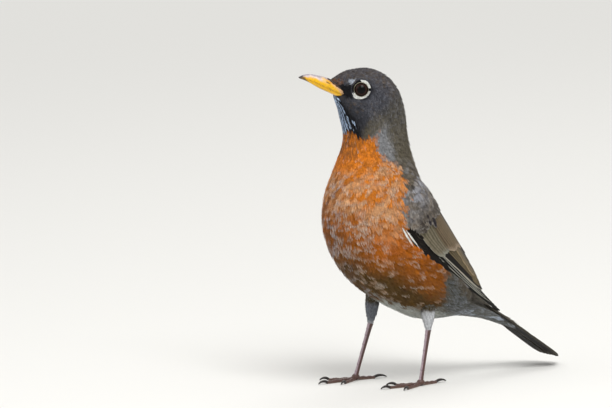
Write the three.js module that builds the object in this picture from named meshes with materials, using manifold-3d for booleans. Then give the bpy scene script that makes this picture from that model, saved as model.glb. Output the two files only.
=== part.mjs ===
// American robin, adult, life size, standing upright and alert with its head turned to its right.
// Millimetres, +Z up. The bird faces -Y, its left side is +X, and both feet stand on z = 0.
// Points of the body's midplane are written [forward, up]; forward is -Y.
import * as THREE from "three";
import { LoftGeometry } from "three/addons/geometries/LoftGeometry.js";
import { mergeVertices } from "three/addons/utils/BufferGeometryUtils.js";
import Module from "manifold-3d";

const wasm = await Module();
wasm.setup();

// ---------- driving dimensions ----------
const GAP = 0.4; // clearance between neighbouring pieces
const ORIGIN = [0, -36.77]; // [side, forward] of the origin, under the middle of the whole bird
const HEAD_TURN = THREE.MathUtils.degToRad(-27); // about the upright neck axis, to the bird's right
const NECK_AXIS = 7; // forward place of that axis
const TURN_FROM = 128; // below this height the neck isn't turned
const TURN_TO = 160; // above it the head is fully turned
const RING = 24; // points round a section of the body

// The body from the bill's root to the end of the tail coverts. Each station is a slanted section:
// its point on the back's line, its point on the underline, its half width, and how much
// wider its lower half is than its upper half.
const STATIONS = [
  { back: [36.5, 187.2], under: [34.0, 175.2], half: 4.2, low: 0.15 }, // bill's root
  { back: [28.6, 192.0], under: [31.8, 168.6], half: 9.6, low: 0.15 }, // forehead to chin
  { back: [21.0, 193.8], under: [30.4, 162.4], half: 13.0, low: 0.12 }, // eyes
  { back: [12.5, 194.0], under: [29.2, 157.2], half: 15.0, low: 0.1 }, // crown
  { back: [2.5, 189.8], under: [28.6, 152.6], half: 16.6, low: 0.06 },
  { back: [-5.2, 181.0], under: [29.0, 148.0], half: 17.6, low: 0.03 }, // back of the head
  { back: [-9.2, 169.0], under: [30.6, 142.4], half: 18.4, low: 0 }, // nape
  { back: [-11.0, 155.5], under: [34.0, 135.4], half: 20.0, low: 0 },
  { back: [-13.4, 143.2], under: [38.4, 126.8], half: 22.8, low: 0 }, // root of the neck
  { back: [-18.0, 130.8], under: [42.6, 114.0], half: 26.2, low: 0.02 }, // shoulders
  { back: [-25.2, 112.4], under: [43.6, 98.5], half: 28.4, low: 0.04 }, // breast
  { back: [-36.0, 95.0], under: [38.6, 82.0], half: 29.4, low: 0.05 },
  { back: [-46.5, 80.0], under: [27.8, 66.6], half: 28.8, low: 0.06 }, // belly
  { back: [-54.5, 67.5], under: [12.6, 54.2], half: 26.4, low: 0.06 },
  { back: [-61.0, 57.5], under: [-5.0, 44.2], half: 22.4, low: 0.04 }, // vent
  { back: [-67.0, 50.5], under: [-22.5, 37.4], half: 18.0, low: 0.02 },
  { back: [-73.5, 44.6], under: [-44.5, 37.4], half: 14.0, low: 0.02 }, // rump
  { back: [-81.0, 38.6], under: [-66.0, 33.8], half: 10.6, low: 0 },
  { back: [-90.0, 32.4], under: [-84.0, 27.8], half: 8.0, low: 0 }, // end of the tail coverts
];
// Where the body's pieces begin, counted in stations, with the sections of each.
const BODY_PARTS = [
  { name: "head", from: 0, to: 6, sections: 12, hue: 0x3b3b40 },
  { name: "neck", from: 6, to: 8.6, sections: 6, hue: 0x57534f },
  { name: "breast", from: 8.6, to: 11.3, sections: 6, hue: 0xb8622c },
  { name: "belly", from: 11.3, to: 14.6, sections: 6, hue: 0xa9531f },
  { name: "rump", from: 14.6, to: 18, sections: 6, hue: 0x77736c },
];

const BILL_TIP = [49.6 + NECK_AXIS, 189.0];
const GAPE = [20.0 + NECK_AXIS, 176.0];
const EYE = { side: 9.2, forward: 19.6, up: 182.2, radius: 5.0 };

const WRIST_LIFT = 2.9; // how far the shoulder coverts stand proud of the wing's own surface
const COVERTS_END = 0.56; // as a share of the folded wing's length
const WING_LENGTH = 118; // folded, from the shoulder to the longest primary
const WING_DEPTH = 45; // from the wing's upper edge to its lower edge, about the middle
const PRIMARIES = 4;
const SECONDARIES = 5;
const RECTRIX_PAIRS = 6;
const TAIL = { root: [-70, 46.4], tip: [-124.4, 6.2], spread: 1.25, width: 5.2, drop: 0.5, thick: 0.8 };

const LEGS = [
  { side: 1, name: "left", foot: [19.5, -10.9], ankle: [18.0, -17.5, 33.4], hip: [16.0, -18.5, 52.0] },
  { side: -1, name: "right", foot: [-19.5, 9.8], ankle: [-17.5, 0.3, 34.4], hip: [-15.5, -0.6, 56.0] },
];
// heading is measured from straight ahead towards the body's midline
const TOES = [
  { name: "hind", heading: 172, length: 12, girth: 1.25, claw: 8.5 },
  { name: "inner", heading: 30, length: 14.5, girth: 1.1, claw: 6 },
  { name: "middle", heading: 3, length: 21.5, girth: 1.2, claw: 6.5 },
  { name: "outer", heading: -27, length: 16, girth: 1.1, claw: 5.5 },
];

// ---------- helpers ----------
const robin = new THREE.Group();
const at = (side, forward, up) => new THREE.Vector3(side, -forward, up);
const lerp = THREE.MathUtils.lerp;
const smooth = (from, to, x) => THREE.MathUtils.smoothstep(x, from, to);
const curve = (points) => new THREE.CatmullRomCurve3(points, false, "catmullrom", 0.5);

// A closed geometry as a manifold-3d solid: corners merged, empty faces dropped, faces outwards.
function solid(geometry) {
  const bare = new THREE.BufferGeometry()
    .setAttribute("position", geometry.getAttribute("position").clone())
    .setIndex(geometry.index.clone());
  const merged = mergeVertices(bare, 1e-3);
  const corners = merged.index.array;
  const faces = [];
  for (let i = 0; i < corners.length; i += 3) {
    const [a, b, c] = corners.slice(i, i + 3);
    if (a !== b && b !== c && c !== a) faces.push(a, b, c);
  }
  const build = (triVerts) =>
    new wasm.Manifold(
      new wasm.Mesh({ numProp: 3, vertProperties: merged.attributes.position.array, triVerts }),
    );
  const made = build(new Uint32Array(faces));
  return made.volume() > 0 ? made : build(new Uint32Array(faces.reverse()));
}

// Adds a solid to the bird as a named mesh, keeping its largest body.
function addPiece(name, shape, color, roughness) {
  const whole = shape.decompose().sort((a, b) => b.volume() - a.volume())[0];
  const mesh = whole.getMesh();
  const geometry = new THREE.BufferGeometry()
    .setAttribute("position", new THREE.BufferAttribute(mesh.vertProperties, 3))
    .setIndex(new THREE.BufferAttribute(mesh.triVerts, 1));
  geometry.computeVertexNormals();
  const material = new THREE.MeshStandardMaterial({ color, roughness, metalness: 0 });
  const piece = new THREE.Mesh(geometry, material);
  piece.name = name;
  robin.add(piece);
  return whole;
}

function middleOf(ring) {
  const sum = new THREE.Vector3();
  for (const p of ring) sum.add(p);
  return sum.divideScalar(ring.length);
}

// Skins a row of sections and caps both ends. Each section is first made to run anticlockwise
// as seen from the far end.
function loft(sections, caps = true) {
  const half = Math.floor(sections.length / 2);
  const middle = middleOf(sections[half]);
  const ahead = middle.clone().sub(middleOf(sections[half - 1]));
  const facing = new THREE.Vector3();
  sections[half].forEach((p, k, ring) => {
    const next = ring[(k + 1) % ring.length];
    facing.add(p.clone().sub(middle).cross(next.clone().sub(middle)));
  });
  if (facing.dot(ahead) < 0) sections.forEach((ring) => ring.reverse());
  return solid(new LoftGeometry(sections, { capStart: caps, capEnd: caps }));
}

// Turns a point with the head: all of it above the neck, none of it below.
function turned(point) {
  const angle = HEAD_TURN * smooth(TURN_FROM, TURN_TO, point.z);
  const axis = at(0, NECK_AXIS, 0);
  return point.sub(axis).applyAxisAngle(new THREE.Vector3(0, 0, 1), angle).add(axis);
}

// A round limb along a path, with one radius for each of its points.
function limb(points, radii, sides, steps, floor = -Infinity) {
  const path = curve(points);
  const girth = curve(radii.map((r) => new THREE.Vector3(r, 0, 0)));
  const sections = [];
  for (let i = 0; i <= steps; i++) {
    const centre = path.getPoint(i / steps);
    const ahead = path.getTangent(i / steps);
    const across = new THREE.Vector3(0, 0, 1).cross(ahead);
    if (across.length() < 0.3) across.set(1, 0, 0);
    across.normalize();
    const upward = ahead.clone().cross(across).normalize();
    const r = girth.getPoint(i / steps).x;
    sections.push(
      Array.from({ length: sides }, (_, k) => {
        const a = (k / sides) * 2 * Math.PI;
        const p = centre.clone().addScaledVector(across, r * Math.cos(a));
        p.addScaledVector(upward, r * Math.sin(a));
        p.z = Math.max(p.z, floor);
        return p;
      }),
    );
  }
  return loft(sections);
}

// ---------- head, neck and trunk ----------
const backLine = curve(STATIONS.map((s) => new THREE.Vector3(...s.back, s.half)));
const underLine = curve(STATIONS.map((s) => new THREE.Vector3(...s.under, s.low)));

// One closed section of the body; shift moves it tailwards, grow makes it larger all round, and
// size 0 draws it together into its middle.
function bodySection(station, shift = 0, grow = 0, size = 1) {
  const back = backLine.getPoint(station / (STATIONS.length - 1));
  const under = underLine.getPoint(station / (STATIONS.length - 1));
  const centre = new THREE.Vector2(back.x + under.x, back.y + under.y).multiplyScalar(0.5);
  const rise = new THREE.Vector2(back.x - under.x, back.y - under.y).multiplyScalar(0.5);
  const tailward = new THREE.Vector2(rise.y, -rise.x).normalize().multiplyScalar(-1);
  rise.setLength(rise.length() + grow);
  centre.addScaledVector(tailward, shift);
  return Array.from({ length: RING }, (_, k) => {
    const a = (k / RING) * 2 * Math.PI;
    const side = size * (back.z + grow) * Math.sin(a) * (1 - under.z * Math.cos(a));
    const h = size * Math.cos(a);
    return turned(at(side, centre.x + rise.x * h, centre.y + rise.y * h));
  });
}

// A length of the body. Its ends are fans from the middle, so that two neighbours stay parallel
// where the neck is twisted.
function bodyLength(from, to, sections, shift = 0, grow = 0) {
  const rings = [bodySection(from, shift, grow, 0)];
  for (let i = 0; i <= sections; i++)
    rings.push(bodySection(from + ((to - from) * i) / sections, i === 0 ? shift : 0, grow));
  rings.push(bodySection(to, 0, grow, 0));
  return loft(rings, false);
}

// ---------- bill ----------
// The ridge, the cutting edge and the lower edge of the bill, each with the bill's half width.
const culmen = curve(
  [
    [27.0 + NECK_AXIS, 185.6, 5.2],
    [31.0 + NECK_AXIS, 188.2, 4.1],
    [36.0 + NECK_AXIS, 189.8, 3.2],
    [41.5 + NECK_AXIS, 190.8, 2.4],
    [46.0 + NECK_AXIS, 190.4, 1.5],
    [...BILL_TIP, 0.5],
  ].map((p) => new THREE.Vector3(...p)),
);
const cuttingEdge = curve(
  [
    [...GAPE, 8.0],
    [25.0 + NECK_AXIS, 178.8, 6.2],
    [31.0 + NECK_AXIS, 182.0, 4.4],
    [38.0 + NECK_AXIS, 185.6, 3.0],
    [44.0 + NECK_AXIS, 187.8, 1.9],
    [BILL_TIP[0] - 0.6, BILL_TIP[1] - 0.7, 0.45],
  ].map((p) => new THREE.Vector3(...p)),
);
const lowerEdge = curve(
  [
    [19.5 + NECK_AXIS, 172.2, 5.6],
    [24.5 + NECK_AXIS, 175.2, 4.8],
    [30.0 + NECK_AXIS, 178.8, 3.4],
    [36.5 + NECK_AXIS, 182.2, 2.2],
    [42.0 + NECK_AXIS, 185.6, 1.4],
    [BILL_TIP[0] - 3.4, BILL_TIP[1] - 1.5, 0.5],
  ].map((p) => new THREE.Vector3(...p)),
);

// A D-shaped half of the bill between the cutting edge and its outer line. It starts a little
// away from the cutting edge; grow makes it larger all round.
function mandible(outerLine, away, grow = 0) {
  const steps = 8;
  const round = 6;
  const sections = [];
  for (let i = 0; i <= steps; i++) {
    const outer = outerLine.getPoint(i / steps);
    const edge = cuttingEdge.getPoint(i / steps);
    const span = new THREE.Vector2(outer.x - edge.x, outer.y - edge.y);
    const start = span.clone().setLength(away - grow).add(new THREE.Vector2(edge.x, edge.y));
    span.setLength(span.length() - away + 2 * grow);
    const ring = [];
    for (let k = 0; k <= round; k++) {
      const a = (k / round - 0.5) * Math.PI;
      const p = start.clone().addScaledVector(span, Math.cos(a));
      ring.push(turned(at((edge.z + grow) * Math.sin(a), p.x, p.y)));
    }
    sections.push(ring);
  }
  return loft(sections);
}

// ---------- eyes ----------
function eyeball(side, grow = 0) {
  const centre = turned(at(side * EYE.side, EYE.forward, EYE.up));
  const ball = new THREE.SphereGeometry(EYE.radius + grow, 12, 7);
  return solid(ball.translate(centre.x, centre.y, centre.z));
}

// ---------- wings ----------
// The folded wing hangs between an upper edge beside the back and a lower edge on the flank.
// Points are [side, forward, up] of the left wing, from the shoulder to the wing tip.
const wingTop = curve([
  at(15, -5, 133), at(13.5, -17.5, 120.5), at(12, -28.4, 105.8), at(11, -40.5, 88.6),
  at(9.5, -52.2, 71.8), at(7.5, -62.2, 55.4), at(4.5, -75.8, 42.4),
]);
const wingFoot = curve([
  at(26.5, 9, 121), at(29.8, 7, 100), at(32.0, -3, 85.5), at(31.0, -18.7, 73.2),
  at(26.8, -36.5, 61.4), at(19.0, -55.5, 51.5), at(8.0, -75.5, 41.2),
]);
const wingBulge = (along) => lerp(9.0, 1.6, smooth(0, 0.95, along)) * smooth(-0.1, 0.14, along);

function wingPoint(side, along, across, lift) {
  const foot = wingFoot.getPoint(along);
  const top = wingTop.getPoint(along);
  const ahead = wingFoot.getTangent(along).add(wingTop.getTangent(along));
  const outward = top.clone().sub(foot).cross(ahead).normalize().multiplyScalar(-1);
  const rise = wingBulge(along) * 4 * across * (1 - across) + lift;
  const p = foot.lerp(top, across).addScaledVector(outward, rise);
  p.x *= side;
  return p;
}

// A long feather lying on the wing from start to tip, both [along, across].
function wingFeather(side, start, tip, halfWidth, lift, thick) {
  const steps = 4;
  const sections = [];
  for (let i = 0; i <= steps; i++) {
    const s = 1 - (1 - i / steps) ** 1.6;
    const along = lerp(start[0], tip[0], s);
    const across = lerp(start[1], tip[1], s);
    const chord = wingTop.getPoint(along).distanceTo(wingFoot.getPoint(along));
    const round = Math.sqrt(1 - Math.max(0, (s - 0.7) / 0.302) ** 2);
    const half = (halfWidth * Math.max(round, 0.1)) / chord;
    const edge = [-1, 0, 1].map((c) => across + c * half);
    const low = lift - thick;
    sections.push([
      ...edge.map((b) => wingPoint(side, along, b, lift)),
      ...edge.reverse().map((b) => wingPoint(side, along, b, low)),
    ]);
  }
  return loft(sections);
}

// The shoulder and its coverts: a blunt shell that reaches into the trunk, to be cut to it.
function wingCoverts(side, grow = 0) {
  const steps = 8;
  const across = 6;
  const sections = [];
  for (let i = 0; i <= steps; i++) {
    const along = lerp(0, COVERTS_END + grow / WING_LENGTH, i / steps);
    const thin = smooth(0.3, COVERTS_END, along);
    const blunt = Math.sin((Math.PI / 2) * Math.min(1, (i + 1) / 4));
    const low = lerp(0.03, 0.3, smooth(0.1, 0.45, along)) - grow / WING_DEPTH;
    const high = 0.98 + grow / WING_DEPTH;
    const ring = [];
    for (let k = 0; k <= across; k++) {
      const round = Math.sqrt(Math.sin((Math.PI * (k + 0.35)) / (across + 0.7)));
      const proud = WRIST_LIFT * blunt * round * lerp(1, 0.75, thin) + grow;
      ring.push(wingPoint(side, along, lerp(low, high, k / across), proud));
    }
    for (let k = across; k >= 0; k -= 2)
      ring.push(wingPoint(side, along, lerp(low, high, k / across), -7));
    sections.push(ring);
  }
  return loft(sections);
}

function flightFeathers(side, count, feather) {
  let fan = null;
  for (let i = 0; i < count; i++) {
    const f = feather(i / (count - 1));
    const vane = wingFeather(side, f.start, f.tip, f.half, f.lift, f.thick);
    fan = fan ? fan.add(vane) : vane;
  }
  return fan;
}

// Tertials and secondaries overlap downwards from the back; share runs from the back's edge down.
const secondary = (share) => ({
  start: [0.3, lerp(0.8, 0.3, share)],
  tip: [lerp(0.64, 0.81, share), lerp(0.72, 0.42, share)],
  half: lerp(6.6, 4.6, share),
  lift: lerp(2.3, 0.9, share),
  thick: 1.5,
});
// Primaries lie under the secondaries along the lower edge; the longest reach the wing tip.
const primary = (share) => ({
  start: [0.2, lerp(0.07, 0.26, share)],
  tip: [lerp(0.8, 0.995, share), lerp(0.12, 0.5, share)],
  half: lerp(3.0, 4.0, share),
  lift: lerp(-2.3, -1.2, share),
  thick: 0.9,
});

// ---------- tail ----------
const tailRoot = at(0, ...TAIL.root);
const tailAhead = at(0, ...TAIL.tip).sub(tailRoot);
const tailUp = new THREE.Vector3(1, 0, 0).cross(tailAhead).normalize();

// One tail feather; pair 0 lies on top in the middle, and each further pair lies lower and outwards.
function rectrix(side, pair, grow, steps) {
  const sections = [];
  for (let i = 0; i <= steps; i++) {
    const s = 1 - (1 - i / steps) ** 1.6;
    const length = 1 - 0.006 * pair ** 1.6;
    const round = Math.sqrt(1 - Math.max(0, (s - 0.86) / 0.142) ** 2);
    const half = TAIL.width * (0.62 + 0.38 * s) * Math.max(round, 0.25);
    const middle = side * (0.5 + pair) * TAIL.spread * (0.55 + 0.45 * s);
    const drop = -TAIL.drop * pair * (0.7 + 0.3 * s);
    const centre = tailRoot.clone().addScaledVector(tailAhead, s * length);
    const corner = (across, rise) =>
      centre.clone().add(new THREE.Vector3(middle + across, 0, 0)).addScaledVector(tailUp, drop + rise);
    const top = TAIL.thick / 2 + grow;
    sections.push([
      corner(-half - grow, top), corner(0, top + 0.25), corner(half + grow, top),
      corner(half + grow, -top), corner(-half - grow, -top),
    ]);
  }
  return loft(sections);
}

function tailFan(grow, steps) {
  let fan = null;
  for (let pair = 0; pair < RECTRIX_PAIRS; pair++)
    for (const side of [1, -1]) {
      const vane = rectrix(side, pair, grow, steps);
      fan = fan ? fan.add(vane) : vane;
    }
  return fan;
}

// ---------- legs ----------
const footHub = (leg, grow = 0) => {
  const ball = new THREE.SphereGeometry(2.3 + grow, 8, 6).scale(1, 1.15, 0.85);
  return solid(ball.translate(leg.foot[0], -leg.foot[1], 2.1));
};

function toeHeading(leg, toe) {
  const angle = THREE.MathUtils.degToRad(toe.heading);
  return new THREE.Vector3(-leg.side * Math.sin(angle), -Math.cos(angle), 0);
}

// A toe lies on the floor, swollen at its joints, with its pads flat at z = 0.
function toeSolid(leg, toe) {
  const ahead = toeHeading(leg, toe);
  const hub = at(...leg.foot, 0);
  const joints = [0, 0.2, 0.38, 0.56, 0.74, 0.9, 1];
  const radii = joints.map((s, i) => toe.girth * (1 - 0.22 * s) * (i % 2 ? 0.9 : 1.08));
  const points = joints.map((s, i) =>
    hub.clone().addScaledVector(ahead, 0.6 + s * toe.length).setZ(radii[i] * 0.82 + 0.7 * (1 - s) ** 8),
  );
  return limb(points, radii, 6, 5, 0);
}

// A claw rises from the toe's end, arches over and comes down to a point just clear of the floor.
function clawSolid(leg, toe) {
  const ahead = toeHeading(leg, toe);
  const root = at(...leg.foot, 0).addScaledVector(ahead, 0.6 + toe.length + GAP);
  const profile = [[0, 1.05], [0.3, 1.75], [0.65, 1.65], [0.9, 0.95], [1, 0.42]];
  const points = profile.map(([s, up]) => root.clone().addScaledVector(ahead, s * toe.claw).setZ(up));
  return limb(points, [0.8, 0.85, 0.62, 0.42, 0.27], 6, 4, 0.1);
}

// ---------- assembly ----------
const trunkEnvelope = bodyLength(0, STATIONS.length - 1, 46, 0, GAP);
const tailSlot = tailFan(GAP, 2);

const billCut = mandible(culmen, 0, GAP).add(mandible(lowerEdge, 0, GAP));
for (const part of BODY_PARTS) {
  let shape = bodyLength(part.from, part.to, part.sections, part.from ? GAP : 0);
  if (part.name === "head") {
    shape = shape.subtract(billCut);
    for (const side of [1, -1]) shape = shape.subtract(eyeball(side, GAP));
  }
  if (part.name === "rump") shape = shape.subtract(tailSlot);
  addPiece(part.name, shape, part.hue, 0.9);
}

addPiece("upper_bill", mandible(culmen, GAP / 2), 0xd9a62e, 0.4);
addPiece("lower_bill", mandible(lowerEdge, GAP / 2), 0xe0a81c, 0.4);
addPiece("tail", tailFan(0, 4), 0x3a3734, 0.8);

for (const [label, side] of [["left", 1], ["right", -1]]) {
  addPiece(`eye_${label}`, eyeball(side), 0x1a0f0a, 0.1);

  const coverts = wingCoverts(side).subtract(trunkEnvelope);
  const beneath = wingCoverts(side, GAP).add(trunkEnvelope);
  const primaries = flightFeathers(side, PRIMARIES, primary);
  const secondaries = flightFeathers(side, SECONDARIES, secondary);
  addPiece(`wing_coverts_${label}`, coverts, 0x6b6259, 0.85);
  addPiece(`wing_secondaries_${label}`, secondaries.subtract(beneath), 0x5d544a, 0.8);
  addPiece(`wing_primaries_${label}`, primaries.subtract(beneath), 0x2c2927, 0.8);
}

for (const leg of LEGS) {
  const ankle = at(...leg.ankle);
  const hub = at(...leg.foot, 2.4);
  const thigh = limb(
    [at(...leg.hip), at(...leg.hip).lerp(ankle, 0.55), ankle.clone().lerp(at(...leg.hip), 0.04)],
    [4.8, 4.1, 1.9], 12, 6,
  );
  const shank = limb(
    [0, 0.14, 0.5, 0.9, 1].map((s) => ankle.clone().lerp(hub, s)),
    [1.85, 1.6, 1.35, 1.35, 1.8], 10, 7,
  );
  let foot = footHub(leg);
  for (const toe of TOES) foot = foot.add(toeSolid(leg, toe));
  addPiece(`thigh_${leg.name}`, thigh.subtract(trunkEnvelope), leg.side > 0 ? 0xb5b0a8 : 0x6a6966, 0.9);
  addPiece(`shank_${leg.name}`, shank.subtract(footHub(leg, GAP)), 0x6a463c, 0.5);
  addPiece(`foot_${leg.name}`, foot, 0x5d4038, 0.55);
  for (const toe of TOES) addPiece(`claw_${toe.name}_${leg.name}`, clawSolid(leg, toe), 0x2e2623, 0.35);
}

robin.position.copy(at(...ORIGIN, 0)).multiplyScalar(-1);
export default robin;
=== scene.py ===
import math
import bpy
import numpy as np
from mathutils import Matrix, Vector


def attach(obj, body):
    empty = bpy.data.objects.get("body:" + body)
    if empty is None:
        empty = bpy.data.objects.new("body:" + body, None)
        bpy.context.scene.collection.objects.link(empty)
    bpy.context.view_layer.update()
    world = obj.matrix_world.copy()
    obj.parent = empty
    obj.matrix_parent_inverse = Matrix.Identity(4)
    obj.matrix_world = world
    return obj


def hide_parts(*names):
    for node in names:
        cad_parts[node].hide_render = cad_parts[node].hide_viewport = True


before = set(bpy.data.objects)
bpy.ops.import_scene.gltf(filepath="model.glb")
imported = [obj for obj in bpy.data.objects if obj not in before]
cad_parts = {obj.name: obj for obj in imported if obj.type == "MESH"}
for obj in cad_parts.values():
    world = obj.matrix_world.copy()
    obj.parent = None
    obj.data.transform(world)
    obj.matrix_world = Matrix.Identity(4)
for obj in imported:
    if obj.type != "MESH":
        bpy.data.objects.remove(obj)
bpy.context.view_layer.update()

mm = 0.001
bpy.context.scene.view_settings.view_transform = "Standard"


def smooth(low, high, x):
    # 0 below low, 1 above high, with an S between
    f = np.clip((x - low) / (high - low), 0, 1)
    return f * f * (3 - 2 * f)


def band(x, low, risen, falling, high):
    # 0 outside low and high, 1 from risen to falling, with an S between
    return smooth(low, risen, x) * smooth(high, falling, x)


def lerp(a, b, f):
    # a where f is 0, b where it is 1, and in a straight line between
    return a + (b - a) * f


def unit(v):
    # the same direction with a length of one
    return v / np.maximum(np.linalg.norm(v, axis=-1, keepdims=True), 1e-9)


def grid(u, v):
    # every u with every v, as two arrays with a row for each u
    return np.meshgrid(u, v, indexing="ij")


def evenly(numbers):
    # two shares for each whole number, which together fill the unit square evenly: the numbers
    # times the powers of the inverse of the plastic number, with the whole parts dropped
    return (numbers * 0.7548776662466927) % 1, (numbers * 0.5698402909980532) % 1


def linear(sRgb):
    # an sRGB hex colour as linear red, green and blue
    part = np.array([int(sRgb[i:i + 2], 16) for i in (1, 3, 5)]) / 255
    return np.where(part <= 0.04045, part / 12.92, ((part + 0.055) / 1.055) ** 2.4)


def palette(**colours):
    # named colours, given in hex and kept as linear ones
    return {name: linear(value) for name, value in colours.items()}


def mixed(a, b, f):
    # colours a and b mixed by f, an array of one share for each feather or point
    return a + (b - a) * f[..., None]


def rail(points, share):
    # A smooth curve through the points: a cubic between each two, with a slope of half the
    # step from the point before to the point after. Past its ends it runs on straight.
    # Gives the points and their slopes at the given shares, 0 to 1.
    points = np.asarray(points, float)
    last = len(points) - 1
    row = np.vstack([2 * points[0] - points[1], points, 2 * points[-1] - points[-2]])
    held = np.clip(share, 0, 1)
    x = held * last
    i = np.minimum(x.astype(int), last - 1)
    f = (x - i)[..., None]
    before, start, end, after = row[i], row[i + 1], row[i + 2], row[i + 3]
    leave, arrive = (end - before) / 2, (after - start) / 2
    point = (
        (2 * f**3 - 3 * f**2 + 1) * start + (f**3 - 2 * f**2 + f) * leave
        + (3 * f**2 - 2 * f**3) * end + (f**3 - f**2) * arrive
    )
    slope = last * (
        (6 * f**2 - 6 * f) * (start - end) + (3 * f**2 - 4 * f + 1) * leave
        + (3 * f**2 - 2 * f) * arrive
    )
    return point + (share - held)[..., None] * slope, slope


def chart(u, v, height):
    # reads a height off a grid of heights, in straight lines between the grid's points
    def heightAt(atU, atV):
        x = np.clip((atU - u[0]) / (u[1] - u[0]), 0, len(u) - 1.001)
        y = np.clip((atV - v[0]) / (v[1] - v[0]), 0, len(v) - 1.001)
        i, j = x.astype(int), y.astype(int)
        near = lerp(height[i, j], height[i + 1, j], x - i)
        far = lerp(height[i, j + 1], height[i + 1, j + 1], x - i)
        return lerp(near, far, y - j)
    return heightAt


def newObject(name, data):
    # an object of the scene, at the origin, for a mesh, lamp or camera
    made = bpy.data.objects.new(name, data)
    bpy.context.collection.objects.link(made)
    return made


def addMesh(name, points, faces, material, bakeUv, vaneUv=None, tint=None):
    # One mesh object from arrays of points, in millimetres, and of faces, with its maps and
    # colours. bakeUv is the map that textures are baked to; vaneUv, for a stiff feather, is
    # millimetres across and along its vane.
    mesh = bpy.data.meshes.new(name)
    mesh.vertices.add(len(points))
    mesh.vertices.foreach_set("co", (points * mm).astype(np.float32).ravel())
    corners = np.concatenate([f.ravel() for f in faces])
    sizes = np.concatenate([np.full(len(f), f.shape[1]) for f in faces])
    mesh.loops.add(len(corners))
    mesh.loops.foreach_set("vertex_index", corners.astype(np.int32))
    mesh.polygons.add(len(sizes))
    mesh.polygons.foreach_set("loop_start", (np.cumsum(sizes) - sizes).astype(np.int32))
    mesh.polygons.foreach_set("use_smooth", np.ones(len(sizes), bool))
    mesh.update(calc_edges=True)
    for title, uv in (("Vane", bakeUv if vaneUv is None else vaneUv), ("OFBake", bakeUv)):
        layer = mesh.uv_layers.new(name=title)
        layer.data.foreach_set("uv", uv[corners].astype(np.float32).ravel())
    mesh.uv_layers["Vane"].active_render = True
    if tint is not None:
        colour = np.ones((len(points), 4), np.float32)
        colour[:, :3] = np.clip(tint, 0, 1)
        layer = mesh.attributes.new("tint", "FLOAT_COLOR", "POINT")
        layer.data.foreach_set("color", colour.ravel())
    mesh.materials.append(material)
    return newObject(name, mesh)


def finishPiece(piece, slot, *nodes):
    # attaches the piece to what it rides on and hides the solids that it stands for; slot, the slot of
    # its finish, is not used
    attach(piece, "root")
    if nodes:
        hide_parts(*nodes)


# form of the bird, the same as the solids', in millimetres
originForward = -36.77  # forward place of the frame's origin
headTurn = {"angle": math.radians(-27), "axis": 7, "from": 128, "to": 160}
# The body from the bill's root to the end of the tail coverts. Each station is a slanted section:
# forward and up on the back's line, forward and up on the underline, half width, and how much
# wider its lower half is than its upper half.
stations = [
    (36.5, 187.2, 34.0, 175.2, 4.2, 0.15),  # bill's root
    (28.6, 192.0, 31.8, 168.6, 9.6, 0.15),  # forehead to chin
    (21.0, 193.8, 30.4, 162.4, 13.0, 0.12),  # eyes
    (12.5, 194.0, 29.2, 157.2, 15.0, 0.1),  # crown
    (2.5, 189.8, 28.6, 152.6, 16.6, 0.06),
    (-5.2, 181.0, 29.0, 148.0, 17.6, 0.03),  # back of the head
    (-9.2, 169.0, 30.6, 142.4, 18.4, 0),  # nape
    (-11.0, 155.5, 34.0, 135.4, 20.0, 0),
    (-13.4, 143.2, 38.4, 126.8, 22.8, 0),  # root of the neck
    (-18.0, 130.8, 42.6, 114.0, 26.2, 0.02),  # shoulders
    (-25.2, 112.4, 43.6, 98.5, 28.4, 0.04),  # breast
    (-36.0, 95.0, 38.6, 82.0, 29.4, 0.05),
    (-46.5, 80.0, 27.8, 66.6, 28.8, 0.06),  # belly
    (-54.5, 67.5, 12.6, 54.2, 26.4, 0.06),
    (-61.0, 57.5, -5.0, 44.2, 22.4, 0.04),  # vent
    (-67.0, 50.5, -22.5, 37.4, 18.0, 0.02),
    (-73.5, 44.6, -44.5, 37.4, 14.0, 0.02),  # rump
    (-81.0, 38.6, -66.0, 33.8, 10.6, 0),
    (-90.0, 32.4, -84.0, 27.8, 8.0, 0),  # end of the tail coverts
]
lastStation = len(stations) - 1


def at(side, forward, up):
    # points of the frame from how far they are to the side, forward and up
    parts = np.broadcast_arrays(side, originForward - np.asarray(forward, float), up)
    return np.stack(parts, axis=-1).astype(float)


def turned(p):
    # turns points with the head: all of it above the neck, none of it below
    angle = headTurn["angle"] * smooth(headTurn["from"], headTurn["to"], p[..., 2])
    axisY = originForward - headTurn["axis"]
    x, y = p[..., 0], p[..., 1] - axisY
    c, s = np.cos(angle), np.sin(angle)
    return np.stack([c * x - s * y, s * x + c * y + axisY, p[..., 2]], axis=-1)


def plainBody(station, round, lift):
    # A point of the body before the head is turned: round is 0 on the back, 1 under the belly
    # and positive on the left; lift is its height over the solids' surface. The rump's upper
    # side is let down under the wings' tips, most on its shoulders, where the wings press.
    shoulder = np.exp(-(((np.abs(round) - 0.23) / 0.14) ** 2)) * smooth(18, 17, station)
    sunk = smooth(13.6, 15.2, station) * (1.0 + 3.4 * shoulder) * smooth(0.7, 0.45, np.abs(round))
    lift = lift - sunk
    s, _ = rail(stations, station / lastStation)
    middle = (s[..., 0:2] + s[..., 2:4]) / 2
    rise = (s[..., 0:2] - s[..., 2:4]) / 2
    reach = np.linalg.norm(rise, axis=-1, keepdims=True)
    rise = rise * (reach + lift[..., None]) / reach
    a = round * math.pi
    side = (s[..., 4] + lift) * np.sin(a) * (1 - s[..., 5] * np.cos(a))
    place = middle + rise * np.cos(a)[..., None]
    return at(side, place[..., 0], place[..., 1])


def body(station, round, lift):
    # the body's surface with the head turned: station along it, round it from -1 to 1 with 0 on
    # the back, and lift millimetres outwards
    return turned(plainBody(station, round, lift))


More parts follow.
